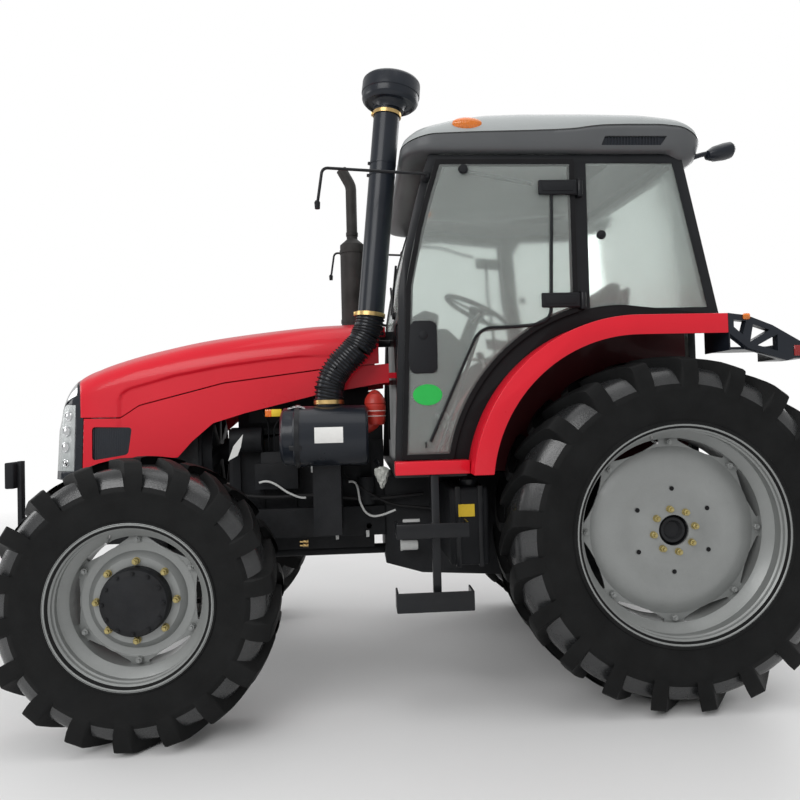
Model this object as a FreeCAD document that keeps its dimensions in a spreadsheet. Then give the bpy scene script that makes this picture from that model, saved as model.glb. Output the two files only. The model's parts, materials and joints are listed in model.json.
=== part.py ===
import FreeCAD, Part
import math
import os
import re
import Sketcher

# A farm tractor with a closed cab, four driven wheels and a rear hitch, at its real size in millimetres.
# +X points forward, +Y to the tractor's left, +Z up. The origin lies on the ground under the middle of
# the tractor's length and width.

# Driving sizes. Places written as "ahead" are measured forward from the rear axle, and "out" sideways
# from the middle plane.
SIZES = {
    # stance
    "wheelbase": 2443,
    "front_overhang": 787,
    "rear_overhang": 1100,
    "rear_track": 1560,
    "front_track": 1790,
    "running_gap": 0.3,
    "moving_gap": 5,
    # rear wheels
    "rear_tyre_radius": 820,
    "rear_tyre_width": 429,
    "rear_bead_radius": 482,
    "rear_rim_width": 410,
    "rear_disc_recess": 132,
    "rear_disc_thickness": 14,
    "rear_hub_radius": 120,
    "rear_bracket_height": 44,
    # front wheels
    "front_tyre_radius": 620,
    "front_tyre_width": 345,
    "front_bead_radius": 330,
    "front_rim_width": 330,
    "front_disc_recess": 124,
    "front_disc_thickness": 12,
    "front_hub_radius": 150,
    "front_bracket_height": 34,
    "hub_cap_height": 62,
    # both rims and tyres
    "flange_height": 26,
    "flange_run": 14,
    "rim_wall": 9,
    "well_depth": 42,
    "lug_height": 38,
    "lug_root": 22,
    "window_depth": 36,
    "bracket_half_width": 28,
    "bead_clearance": 1,
    # front axle and steering
    "kingpin_out": 740,
    "kingpin_radius": 22,
    "beam_half_height": 75,
    "beam_half_depth": 80,
    "fork_half_height": 125,
    "fork_thickness": 30,
    "fork_radius": 50,
    "web_half_depth": 40,
    "web_thickness": 35,
    "knuckle_radius": 58,
    "hub_drum_radius": 95,
    "hub_drum_start": 60,
    "hub_neck_radius": 70,
    "steering_arm_length": 210,
    "steering_arm_drop": 65,
    "steering_arm_thickness": 20,
    "steering_arm_half_width": 16,
    "tie_rod_radius": 16,
    "tie_pin_radius": 10,
    "pivot_pin_radius": 35,
    "hanger_half_width": 150,
    "hanger_thickness": 40,
    "hanger_gap": 10,
    # frame, engine and driveline
    "rail_out": 240,
    "rail_thickness": 40,
    "rail_bottom": 740,
    "rail_top": 900,
    "rail_front": 2950,
    "carrier_depth": 110,
    "marker_bar_in": 405,
    "marker_bar_out": 445,
    "marker_bar_setback": 45,
    "marker_in": 370,
    "marker_out": 480,
    "marker_bottom": 1075,
    "marker_top": 1205,
    "engine_rear": 1330,
    "engine_front": 2180,
    "engine_half_width": 160,
    "engine_bottom": 760,
    "engine_top": 1340,
    "pan_bottom": 655,
    "pan_half_width": 130,
    "head_top": 1480,
    "head_half_width": 110,
    "cover_top": 1560,
    "fan_radius": 225,
    "fan_blade_half_width": 28,
    "fan_blade_depth": 30,
    "fan_drop": 130,
    "shaft_radius": 28,
    "radiator_rear": 2330,
    "radiator_depth": 130,
    "radiator_half_width": 250,
    "radiator_top": 1560,
    "gearbox_rear": 250,
    "gearbox_half_width": 220,
    "gearbox_bottom": 480,
    "gearbox_top": 1060,
    "axle_case_rear": -330,
    "axle_case_half_width": 260,
    "axle_case_bottom": 560,
    "trumpet_radius": 110,
    "trumpet_end": 695,
    "trumpet_flange_radius": 150,
    "trumpet_flange_thickness": 30,
    "lift_case_front": 150,
    "lift_case_half_width": 180,
    "lift_case_top": 1090,
    "tank_rear": 840,
    "tank_front": 1034,
    "tank_out": 690,
    "tank_bottom": 654,
    "tank_top": 1033,
    "step_post_rear": 1100,
    "step_post_width": 38,
    "step_in": 780,
    "step_out": 900,
    "tray_wall": 10,
    # cab
    "floor_bottom": 1095,
    "sill_bottom": 1114,
    "sill_top": 1176,
    "sill_out": 850,
    "cab_out": 760,
    "frame_thickness": 45,
    "cab_front": 1297,
    "cab_top": 2640,
    "top_rail": 40,
    "pillar_knee_ahead": 1258,
    "pillar_knee_height": 2008,
    "pillar_top_ahead": 1101,
    "pillar_curve": 4000,
    "pillar_width": 45,
    "rear_pillar_top_ahead": -150,
    "rear_pillar_foot_ahead": -320,
    "rear_pillar_width": 45,
    "door_post_rear": 330,
    "door_post_front": 410,
    "door_rear": 395,
    "door_edge_clearance": 14,
    "door_frame_thickness": 10,
    "door_frame_width": 34,
    "glass_thickness": 5,
    "hinge_ahead": 372,
    "hinge_out": 785,
    "hinge_pin_radius": 8,
    "hinge_barrel_radius": 15,
    "hinge_height": 70,
    "upper_hinge_height": 2470,
    "lower_hinge_rise": 98,
    "window_sill": 1905,
    "wall_thickness": 40,
    "side_window_in": 430,
    "side_window_bottom": 1230,
    # roof
    "roof_overhang": 125,
    "roof_rear": -280,
    "roof_out": 800,
    "roof_lip_height": 2690,
    "roof_seam_height": 2755,
    "roof_shoulder_height": 2860,
    "roof_groove": 6,
    "roof_crown": 2950,
    "recess_rear": -50,
    "recess_length": 310,
    "recess_depth": 12,
    "recess_height": 26,
    "work_lamp_rear": -441,
    "work_lamp_in": 640,
    "work_lamp_out": 760,
    "work_lamp_bottom": 2640,
    "work_lamp_top": 2717,
    # cab inside
    "console_half_width": 210,
    "seat_height": 1500,
    "seat_base_half_width": 190,
    "cushion_top": 1630,
    "cushion_half_width": 250,
    "backrest_top": 2180,
    "backrest_half_width": 230,
    "steering_ahead": 750,
    "steering_height": 2006,
    "steering_tilt": 25,
    "steering_ring_radius": 178,
    "steering_grip": 13,
    "spoke_width": 24,
    "spoke_thickness": 10,
    "steering_hub_radius": 40,
    "steering_hub_height": 40,
    "column_radius": 32,
    "column_length": 330,
    # fenders
    "fender_centre_ahead": 170,
    "fender_centre_height": 1040,
    "fender_radius": 787,
    "fender_band": 92,
    "fender_out": 955,
    "fender_in": 534,
    "fender_skin": 6,
    "fender_rear": -250,
    "arch_strip": 59,
    "pod_width": 220,
    "pod_bracket_width": 40,
    "tail_lamp_rear": -640,
    "tail_lamp_front": -520,
    "tail_lamp_bottom": 1612,
    "tail_lamp_top": 1682,
    # hood
    "hood_rear": 1350,
    "hood_front": 3078,
    "hood_crown": 1915,
    "hood_foot": 1100,
    "hood_wall": 8,
    "hood_gap": 6,
    "lamp_rear": 2955,
    "lamp_bottom": 1143,
    "lamp_top": 1483,
    "lamp_depth": 26,
    "grille_half_width": 150,
    "hood_pivot_ahead": 1320,
    "hood_pivot_height": 1850,
    "hood_pin_radius": 10,
    "hood_lug_out": 195,
    "hood_lug_thickness": 12,
    # intake and exhaust
    "cleaner_rear": 1419,
    "cleaner_front": 1848,
    "cleaner_radius": 150,
    "cleaner_out": 560,
    "cleaner_height": 1300,
    "intake_out": 520,
    "intake_radius": 68,
    "precleaner_radius": 147,
    "precleaner_bottom": 2940,
    "precleaner_top": 3171,
    "hose_ring": 7,
    "elbow_ahead": 1378,
    "elbow_height": 1492,
    "elbow_radius": 36,
    "exhaust_out": 500,
    "muffler_radius": 81,
    "muffler_bottom": 1960,
    "muffler_top": 2566,
    "exhaust_ahead": 1477,
    "tailpipe_radius": 36,
    "tailpipe_top": 3034,
    "downpipe_height": 1420,
    "mirror_rod_radius": 7,
    "door_tube_radius": 9,
    "lock_rear": 1085,
    "lock_front": 1205,
    "lock_plate_front": 1225,
    "lock_bottom": 1592,
    "lock_top": 1832,
    "lock_depth": 30,
    # rear hitch
    "rocker_ahead": -400,
    "rocker_height": 1025,
    "rocker_radius": 35,
    "lift_arm_length": 300,
    "lift_arm_out": 330,
    "link_thickness": 24,
    "link_pivot_ahead": -230,
    "link_pivot_height": 500,
    "link_length": 840,
    "link_half_height": 32,
    "link_ball_bore": 14.5,
    "link_pin_radius": 14,
    "link_droop": 5,
    "lift_rod_radius": 16,
    "top_link_drop": 165,
    "top_link_length": 560,
    "top_link_radius": 18,
    "top_link_bore": 12.85,
    "top_link_eye_radius": 28,
    "top_link_eye_width": 48,
    "top_link_setback": 40,
    "drawbar_height": 430,
    "drawbar_thickness": 35,
    "drawbar_half_width": 40,
    "drawbar_rear": -560,
    "drawbar_front": 200,
    "drawbar_hole_ahead": -520,
    "drawbar_bore": 15,
    "pto_height": 660,
    "pto_radius": 17.5,
    "pto_length": 100,
}

NAMES = re.compile(r"[a-z][a-z0-9_]*")
REAR_AXLE = "(rear_overhang - front_overhang - wheelbase) / 2"

document = FreeCAD.newDocument("FarmTractor")
sheet = document.addObject("Spreadsheet::Sheet", "Sizes")
for row, (size_name, number) in enumerate(SIZES.items(), 1):
    sheet.set(f"A{row}", size_name)
    sheet.set(f"B{row}", str(number))
    sheet.setAlias(f"B{row}", size_name)
document.recompute()

VECTOR = FreeCAD.Vector
TURNS = {
    "x": FreeCAD.Rotation(VECTOR(0, 1, 0), 90),
    "y": FreeCAD.Rotation(VECTOR(1, 0, 0), -90),
    "z": FreeCAD.Rotation(),
}
AXES = {"x": VECTOR(1, 0, 0), "y": VECTOR(0, 1, 0), "z": VECTOR(0, 0, 1)}
VIEWS = {"side": "XZ_Plane", "front": "YZ_Plane", "plan": "XY_Plane"}
nodes = []


# Reading and binding sizes

def bound(text):
    """The same formula with each size read from the sheet."""
    return NAMES.sub(lambda word: "<<Sizes>>." + word[0] if word[0] in SIZES else word[0], str(text))


def value(text):
    return float(sheet.evalExpression(bound(text)))


def ahead(text):
    """A place measured forward from the rear axle, as a place in the tractor's own frame."""
    return f"({REAR_AXLE}) + ({text})"


def bind(thing, prop, text):
    thing.setExpression(prop, bound(text))


def place(thing, x=0, y=0, z=0):
    for letter, text in zip("xyz", (x, y, z)):
        bind(thing, f"Placement.Base.{letter}", text)
    return thing


def node(name, thing):
    """Name a finished sub-part, which is written out under that name."""
    thing.Label = name
    nodes.append(thing)
    return thing


# Simple solids and how they are joined

def box(name, x, y, z):
    """A box between two places along each axis."""
    thing = document.addObject("Part::Box", name)
    for prop, (low, high) in zip(("Length", "Width", "Height"), (x, y, z)):
        bind(thing, prop, f"({high}) - ({low})")
    return place(thing, x[0], y[0], z[0])


def rod(name, axis, x, y, z, radius, length):
    thing = document.addObject("Part::Cylinder", name)
    thing.Placement = FreeCAD.Placement(VECTOR(), TURNS[axis])
    bind(thing, "Radius", radius)
    bind(thing, "Height", length)
    return place(thing, x, y, z)


def strut(name, start, finish, radius):
    """A straight round bar between two places."""
    begin, end = (VECTOR(*(value(text) for text in spot)) for spot in (start, finish))
    thing = document.addObject("Part::Cylinder", name)
    thing.Placement = FreeCAD.Placement(VECTOR(), FreeCAD.Rotation(VECTOR(0, 0, 1), end - begin))
    bind(thing, "Radius", radius)
    thing.Height = (end - begin).Length
    return place(thing, *start)


def fuse(name, *things):
    joined = document.addObject("Part::MultiFuse", name)
    joined.Shapes = list(things)
    joined.Refine = True
    return joined


def cut(name, base, *tools):
    tool = tools[0] if len(tools) == 1 else fuse(name + "Tools", *tools)
    result = document.addObject("Part::Cut", name)
    result.Base = base
    result.Tool = tool
    return result


def mirror(name, source):
    """The same piece on the tractor's other side."""
    copy = document.addObject("Part::Mirroring", name)
    copy.Source = source
    copy.Base = (0, 0, 0)
    copy.Normal = (0, 1, 0)
    return copy


def pair(name, source):
    """A piece and its twin on the other side, as one sub-part of two solids."""
    both = document.addObject("Part::Compound", name)
    both.Links = [source, mirror(name + "Twin", source)]
    return both


# Sketched solids

def draw_loop(sketch, corners, tag):
    """Close an anticlockwise outline. A corner is (across, up) or (across, up, radius): the radius bends
    the run to the next corner, outwards if positive and inwards if negative. The word round in its place
    makes a half circle of a level or upright run."""
    first = sketch.GeometryCount
    count = len(corners)
    spots = [VECTOR(value(corner[0]), value(corner[1]), 0) for corner in corners]
    ends = []
    for index, corner in enumerate(corners):
        start = spots[index]
        finish = spots[(index + 1) % count]
        if len(corner) < 3:
            sketch.addGeometry(Part.LineSegment(start, finish), False)
            ends.append((1, 2))
            continue
        chord = finish - start
        inward = VECTOR(-chord.y, chord.x, 0).normalize()
        radius = chord.Length / 2 if corner[2] == "round" else value(corner[2])
        rise = math.sqrt(max(radius ** 2 - (chord.Length / 2) ** 2, 0))
        middle = (start + finish) * 0.5 + inward * math.copysign(rise, radius)
        begin, end = (start, finish) if radius > 0 else (finish, start)
        angles = [math.atan2(spot.y - middle.y, spot.x - middle.x) for spot in (begin, end)]
        circle = Part.Circle(middle, VECTOR(0, 0, 1), abs(radius))
        sketch.addGeometry(Part.ArcOfCircle(circle, *angles), False)
        ends.append((1, 2) if radius > 0 else (2, 1))
    for index in range(count):
        following = (index + 1) % count
        sketch.addConstraint(Sketcher.Constraint(
            "Coincident", first + index, ends[index][1], first + following, ends[following][0]))
    for index, corner in enumerate(corners):
        for kind, text, start in (("DistanceX", corner[0], spots[index].x),
                                  ("DistanceY", corner[1], spots[index].y)):
            rule = sketch.addConstraint(Sketcher.Constraint(
                kind, -1, 1, first + index, ends[index][0], start))
            sketch.renameConstraint(rule, f"{tag}{kind}{index}")
            bind(sketch, f"Constraints.{tag}{kind}{index}", text)
        if len(corner) > 2 and corner[2] == "round":
            start, finish = spots[index], spots[(index + 1) % count]
            kind, text, level = (("DistanceY", corner[1], start.y) if abs(start.y - finish.y) < 0.01 else
                                 ("DistanceX", corner[0], start.x))
            rule = sketch.addConstraint(Sketcher.Constraint(kind, -1, 1, first + index, 3, level))
            sketch.renameConstraint(rule, f"{tag}Centre{index}")
            bind(sketch, f"Constraints.{tag}Centre{index}", text)
        elif len(corner) > 2:
            rule = sketch.addConstraint(Sketcher.Constraint("Radius", first + index, abs(value(corner[2]))))
            sketch.renameConstraint(rule, f"{tag}Radius{index}")
            bind(sketch, f"Constraints.{tag}Radius{index}", f"abs({corner[2]})")


def draw(body, view, loops, start="0"):
    sketch = body.newObject("Sketcher::SketchObject", body.Name + "Sketch")
    plane = [part for part in body.Origin.OriginFeatures if part.Role == VIEWS[view]][0]
    sketch.AttachmentSupport = (plane, [""])
    sketch.MapMode = "FlatFace"
    bind(sketch, "AttachmentOffset.Base.z", start)
    for number, loop in enumerate(loops):
        draw_loop(sketch, loop, f"loop{number}")
    return sketch


def pad(name, view, loops, low, high):
    """Extrude outlines, the first of them outer and any others holes, between two places."""
    body = document.addObject("PartDesign::Body", name)
    solid = body.newObject("PartDesign::Pad", name + "Pad")
    start = f"-({high})" if view == "side" else low
    solid.Profile = draw(body, view, loops, start)
    bind(solid, "Length", f"({high}) - ({low})")
    body.Tip = solid
    return body


def turned(name, axis, loop, x=0, y=0, z=0):
    """Turn an outline of (along, radius) corners about an axis through a place."""
    body = document.addObject("PartDesign::Body", name)
    solid = body.newObject("PartDesign::Revolution", name + "Turned")
    view = {"x": "side", "y": "front", "z": "side"}[axis]
    if axis == "z":
        loop = [(corner[1], corner[0]) for corner in loop]
    outline = draw(body, view, [loop])
    solid.Profile = outline
    solid.ReferenceAxis = (outline, ["V_Axis" if axis == "z" else "H_Axis"])
    solid.Angle = 360
    body.Tip = solid
    return place(body, x, y, z)


BEND_STEP = 15


def bent_path(spots, bend):
    """A line of straight runs whose bends are stepped into short straight runs."""
    points = [VECTOR(*(value(text) for text in spot)) for spot in spots]
    bend = value(bend)
    line = [points[0]]
    for before, corner, after in zip(points, points[1:], points[2:]):
        back = (before - corner).normalize()
        onward = (after - corner).normalize()
        opening = back.getAngle(onward)
        reach = bend / math.tan(opening / 2)
        bisector = (back + onward).normalize()
        centre = corner + bisector * (bend / math.sin(opening / 2))
        arc = Part.Arc(corner + back * reach, centre - bisector * bend, corner + onward * reach)
        count = math.ceil(math.degrees(math.pi - opening) / BEND_STEP) + 1
        line += arc.discretize(count)
    return Part.makePolygon(line + [points[-1]])


def bent_tube(name, spots, radius, bend):
    """A round bar or pipe along straight runs joined by arcs."""
    path = bent_path(spots, bend)
    first, second = path.OrderedVertexes[0].Point, path.OrderedVertexes[1].Point
    section = Part.Wire(Part.makeCircle(value(radius), first, second - first))
    thing = document.addObject("Part::Feature", name)
    thing.Shape = path.makePipeShell([section], True, False, 1)
    return thing


def rings_along(name, spots, bend, radius, width, pitch, low, high):
    """Short thick rings round a bent tube, between two heights, as the folds of a hose."""
    points = bent_path(spots, bend).discretize(Distance=value(pitch))
    rings = []
    for here, there in zip(points, points[1:]):
        if not value(low) <= here.z <= value(high):
            continue
        ring = document.addObject("Part::Cylinder", f"{name}{len(rings)}")
        ring.Placement = FreeCAD.Placement(here, FreeCAD.Rotation(VECTOR(0, 0, 1), there - here))
        bind(ring, "Radius", radius)
        bind(ring, "Height", width)
        rings.append(ring)
    return rings


def feature(name, shape):
    thing = document.addObject("Part::Feature", name)
    thing.Shape = shape
    return thing


def spun(thing, axis, degrees):
    """A piece turned about one of the three axes through the origin."""
    piece = document.addObject("Part::Compound", thing.Name + "Spun")
    piece.Links = [thing]
    piece.Placement = FreeCAD.Placement(VECTOR(), FreeCAD.Rotation(AXES[axis], degrees))
    return piece


# Wheels

# lugs on each side, flat sides of the carcass, lead of a lug's inner end and lag of its outer end, half its
# width round the tyre, rim windows, radius of the circle that cuts a window
WHEELS = {
    "rear": {"lugs": 20, "sides": 20, "lead": 150, "lag": 75, "half_width": 36, "windows": 8,
             "circle": 110},
    "front": {"lugs": 18, "sides": 18, "lead": 112, "lag": 58, "half_width": 29, "windows": 6,
              "circle": 130},
}


def faceted_ring(profile, sides):
    """A ring of flat faces, from a closed outline of (along, radius) stepped round the Y axis."""
    turns = [2 * math.pi * step / sides for step in range(sides)]
    rows = [[VECTOR(radius * math.sin(turn), along, radius * math.cos(turn)) for along, radius in profile]
            for turn in turns]
    faces = []
    for here, there in zip(rows, rows[1:] + rows[:1]):
        for index in range(len(profile)):
            corners = [here[index], here[index - 1], there[index - 1], there[index]]
            faces.append(Part.Face(Part.makePolygon(corners + corners[:1])))
    return Part.makeSolid(Part.makeShell(faces))


def tread_lug(outline, lead, lag, half_width):
    """A bar that leans across the tread, from an outline of (across, radius, stands proud) corners. Its
    proud corners keep to their radius over the bar's whole width."""
    low = min(across for across, radius, proud in outline)
    high = max(across for across, radius, proud in outline)
    spots = []
    for across, radius, proud in outline:
        forward = lead - (lead + lag) * (across - low) / (high - low)
        reach = abs(forward) + half_width if proud else abs(forward)
        spots.append(VECTOR(forward - half_width, across, math.sqrt(radius ** 2 - reach ** 2)))
    return Part.Face(Part.makePolygon(spots + spots[:1])).extrude(VECTOR(2 * half_width, 0, 0))


def make_tyre(end):
    """A carcass of flat faces with its lugs fused on, the two sides' lugs half a step apart."""
    design = WHEELS[end]
    bead = value(f"{end}_bead_radius")
    flange = value(f"{end}_bead_radius + flange_height + bead_clearance")
    tip = value(f"{end}_tyre_radius")
    seat = value(f"{end}_rim_width / 2 - flange_run - bead_clearance")
    half_rim = value(f"{end}_rim_width / 2 - bead_clearance")
    half = value(f"{end}_tyre_width / 2")
    tread = tip - value("lug_height")
    side = [
        (seat, bead),
        (half_rim, flange),
        (half, tip * 0.76),
        (half * 0.80, tread - 12),
    ]
    profile = side + [(-across, radius) for across, radius in reversed(side)]
    around_rim = 1 / math.cos(math.pi / design["sides"])
    ring = faceted_ring([(across, radius * around_rim if radius <= flange else radius)
                         for across, radius in profile], design["sides"])
    outline = [
        (-half * 0.06, tip, True),
        (half * 0.96, tip - 26, True),
        (half * 0.96, tip * 0.74, False),
        (-half * 0.06, tread - value("lug_root"), False),
    ]
    bar = tread_lug(outline, design["lead"], design["lag"], design["half_width"])
    lowest = min((vertex.Point for vertex in bar.Vertexes),
                 key=lambda point: abs(math.hypot(point.x, point.z) - tip))
    start = -math.degrees(math.atan2(lowest.x, lowest.z))
    step = 360 / design["lugs"]
    axis = VECTOR(0, 1, 0)
    lugs = []
    for number in range(design["lugs"]):
        one = bar.copy()
        one.rotate(VECTOR(), axis, start + number * step)
        other = bar.mirror(VECTOR(), axis)
        other.rotate(VECTOR(), axis, start + (number + 0.5) * step)
        lugs += [one, other]
    tyre = document.addObject("Part::Feature", f"{end}Tyre")
    tyre.Shape = ring.fuse(lugs).removeSplitter()
    return tyre


def make_rim(end):
    """A barrel with its dished disc, which is cut away between the tabs that carry the barrel."""
    design = WHEELS[end]
    bead = f"{end}_bead_radius"
    half_rim = f"{end}_rim_width / 2"
    seat = f"{half_rim} - flange_run"
    flange = f"{bead} + flange_height"
    barrel = turned(f"{end}Barrel", "y", [
        (f"-({half_rim}) + 4", f"{flange} - rim_wall"),
        (f"-({seat})", f"{bead} - rim_wall"),
        (f"-({half_rim}) * 0.45", f"{bead} - rim_wall"),
        (f"-({half_rim}) * 0.3", f"{bead} - well_depth - rim_wall"),
        (f"({half_rim}) * 0.3", f"{bead} - well_depth - rim_wall"),
        (f"({half_rim}) * 0.45", f"{bead} - rim_wall"),
        (seat, f"{bead} - rim_wall"),
        (f"{half_rim} - 4", f"{flange} - rim_wall"),
        (half_rim, flange),
        (seat, bead),
        (f"({half_rim}) * 0.45", bead),
        (f"({half_rim}) * 0.3", f"{bead} - well_depth"),
        (f"-({half_rim}) * 0.3", f"{bead} - well_depth"),
        (f"-({half_rim}) * 0.45", bead),
        (f"-({seat})", bead),
        (f"-({half_rim})", flange),
    ])
    well = f"({bead} - rim_wall - well_depth)"
    face = f"({half_rim} - {end}_disc_recess)"
    back = f"({face} - {end}_disc_thickness)"
    disc = turned(f"{end}Disc", "y", [
        (back, "1"),
        (back, f"{well} * 0.52"),
        (f"{back} + 12", f"{well} * 0.60"),
        (f"{back} + 12", f"{well} * 0.78"),
        (back, f"{well} - 40"),
        (f"{back} - 40", f"{well} + 1"),
        (f"{face} - 40", f"{well} + 1"),
        (face, f"{well} - 40"),
        (f"{face} + 12", f"{well} * 0.76"),
        (f"{face} + 12", f"{well} * 0.60"),
        (face, f"{well} * 0.50"),
        (face, "1"),
    ])
    windows = []
    brackets = []
    for number in range(design["windows"]):
        turn = 2 * math.pi * number / design["windows"]
        sine, cosine = round(math.sin(turn), 9), round(math.cos(turn), 9)
        reach = f"({well} - window_depth + {design['circle']})"
        windows.append(rod(f"{end}Window{number}", "y", f"{reach} * {sine}", f"{back} - 60",
                           f"{reach} * {cosine}", design["circle"], f"{end}_disc_thickness + 120"))
        bracket = box(f"{end}Bracket{number}", ("-bracket_half_width", "bracket_half_width"),
                      (f"{back} - 34", f"{face} - 6"), (f"{well} - {end}_bracket_height", f"{well} + 1"))
        brackets.append(spun(bracket, "y", 180 / design["windows"] + math.degrees(turn)))
    return fuse(f"{end}Rim", barrel, cut(f"{end}DiscCut", disc, *windows), *brackets)


def make_wheels():
    rear_place = ("rear_track / 2", "rear_tyre_radius", REAR_AXLE)
    front_place = ("front_track / 2", "front_tyre_radius", ahead("wheelbase"))
    for end, (out, height, centre) in (("rear", rear_place), ("front", front_place)):
        face = f"({end}_rim_width / 2 - {end}_disc_recess)"
        inner = f"(trumpet_end - {out})" if end == "rear" else f"({face} - {end}_disc_thickness)"
        hub = rod(f"{end}Hub", "y", 0, f"{inner} + running_gap", 0, f"{end}_hub_radius * 0.6",
                  f"{face} + 30 - {inner} - running_gap")
        if end == "front":
            boss = turned("frontHubCap", "y", [
                (face, "0"),
                (f"{face} + hub_cap_height", "0"),
                (f"{face} + hub_cap_height", "front_hub_radius * 0.72"),
                (f"{face} + hub_cap_height - 8", "front_hub_radius - 12"),
                (f"{face} + hub_cap_height - 24", "front_hub_radius"),
                (face, "front_hub_radius"),
            ])
        else:
            boss = rod("rearHubPad", "y", 0, face, 0, "rear_hub_radius", 14)
        rim = place(fuse(f"{end}RimWithHub", make_rim(end), hub, boss), centre, out, height)
        tyre = place(make_tyre(end), centre, out, height)
        node(f"tyre_{end}_left", tyre)
        node(f"tyre_{end}_right", mirror(f"{end}TyreTwin", tyre))
        node(f"rim_{end}_left", rim)
        node(f"rim_{end}_right", mirror(f"{end}RimTwin", rim))


# Front axle and steering

PIVOT_X = ahead("wheelbase")
AXLE_Z = "front_tyre_radius"


def make_front_axle():
    half_beam = "kingpin_out - fork_radius - web_thickness - 5"
    beam = pad("Beam", "front", [[
        (f"-({half_beam})", f"{AXLE_Z} - beam_half_height + 15"),
        ("-120", f"{AXLE_Z} - beam_half_height - 35"),
        ("120", f"{AXLE_Z} - beam_half_height - 35"),
        (half_beam, f"{AXLE_Z} - beam_half_height + 15"),
        (half_beam, f"{AXLE_Z} + beam_half_height - 15"),
        ("120", f"{AXLE_Z} + beam_half_height"),
        ("-120", f"{AXLE_Z} + beam_half_height"),
        (f"-({half_beam})", f"{AXLE_Z} + beam_half_height - 15"),
    ]], f"{PIVOT_X} - beam_half_depth", f"{PIVOT_X} + beam_half_depth")
    parts = [beam]
    web = box("ForkWeb", (f"{PIVOT_X} - web_half_depth", f"{PIVOT_X} + web_half_depth"),
              (half_beam, f"{half_beam} + web_thickness"),
              (f"{AXLE_Z} - fork_half_height", f"{AXLE_Z} + fork_half_height"))
    parts += [web, mirror("ForkWebTwin", web)]
    for level, low in (("Upper", "fork_half_height - fork_thickness"), ("Lower", "-fork_half_height")):
        lug = pad(f"{level}Lug", "plan", [[
            (f"{PIVOT_X} + web_half_depth", half_beam),
            (f"{PIVOT_X} + web_half_depth", "kingpin_out", "round"),
            (f"{PIVOT_X} - web_half_depth", "kingpin_out"),
            (f"{PIVOT_X} - web_half_depth", half_beam),
        ]], f"{AXLE_Z} + {low}", f"{AXLE_Z} + {low} + fork_thickness")
        parts += [lug, mirror(f"{level}LugTwin", lug)]
    hole = rod("KingpinHole", "z", PIVOT_X, "kingpin_out", f"{AXLE_Z} - fork_half_height - 1",
               "kingpin_radius + running_gap", "fork_half_height * 2 + 2")
    pivot_hole = rod("PivotHole", "x", f"{PIVOT_X} - beam_half_depth - 1", "0", AXLE_Z,
                     "pivot_pin_radius + running_gap", "beam_half_depth * 2 + 2")
    whole = cut("FrontAxleBeam", fuse("BeamWithForks", *parts), hole, mirror("KingpinHoleTwin", hole),
                pivot_hole)
    node("front_axle_beam", whole)


def make_knuckles():
    gap = "fork_half_height - fork_thickness - running_gap"
    housing = rod("KnuckleHousing", "z", PIVOT_X, "kingpin_out", f"{AXLE_Z} - ({gap})",
                  "knuckle_radius - 10", f"({gap}) * 2")
    kingpin = rod("Kingpin", "z", PIVOT_X, "kingpin_out", f"{AXLE_Z} - fork_half_height",
                  "kingpin_radius", "fork_half_height * 2")
    drum_end = "front_track / 2 + front_rim_width / 2 - front_disc_recess - front_disc_thickness"
    neck = rod("HubNeck", "y", PIVOT_X, "kingpin_out", AXLE_Z, "hub_neck_radius", "hub_drum_start + 10")
    drum = rod("HubDrum", "y", PIVOT_X, "kingpin_out + hub_drum_start", AXLE_Z, "hub_drum_radius",
               f"{drum_end} - kingpin_out - hub_drum_start")
    arm_top = f"{AXLE_Z} - steering_arm_drop + steering_arm_thickness / 2"
    arm_low = f"{AXLE_Z} - steering_arm_drop - steering_arm_thickness / 2"
    arm = pad("SteeringArm", "plan", [[
        (f"{PIVOT_X} - steering_arm_length", "kingpin_out + steering_arm_half_width", "round"),
        (f"{PIVOT_X} - steering_arm_length", "kingpin_out - steering_arm_half_width"),
        (PIVOT_X, "kingpin_out - steering_arm_half_width"),
        (PIVOT_X, "kingpin_out + steering_arm_half_width"),
    ]], arm_low, arm_top)
    bore = rod("TiePinHole", "z", f"{PIVOT_X} - steering_arm_length", "kingpin_out",
               f"{AXLE_Z} - 200", "tie_pin_radius + running_gap", 300)
    knuckle = cut("Knuckle", fuse("KnuckleWhole", housing, kingpin, neck, drum, arm), bore)
    node("knuckle_left", knuckle)
    node("knuckle_right", mirror("KnuckleTwin", knuckle))
    rod_z = f"{arm_low} - running_gap - tie_rod_radius"
    across = rod("TieBar", "y", f"{PIVOT_X} - steering_arm_length", "-kingpin_out", f"{rod_z} - 3",
                 "tie_rod_radius", "kingpin_out * 2")
    eye = rod("TieEye", "z", f"{PIVOT_X} - steering_arm_length", "kingpin_out",
              f"{rod_z} - tie_rod_radius - 6", "tie_rod_radius * 1.4", "tie_rod_radius * 2 + 6")
    pin = rod("TiePin", "z", f"{PIVOT_X} - steering_arm_length", "kingpin_out",
              f"{rod_z} - tie_rod_radius", "tie_pin_radius",
              "tie_rod_radius * 2 + running_gap + steering_arm_thickness")
    node("tie_rod", fuse("TieRod", across, eye, pin, mirror("TieEyeTwin", eye), mirror("TiePinTwin", pin)))


# Frame, engine and driveline

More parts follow.
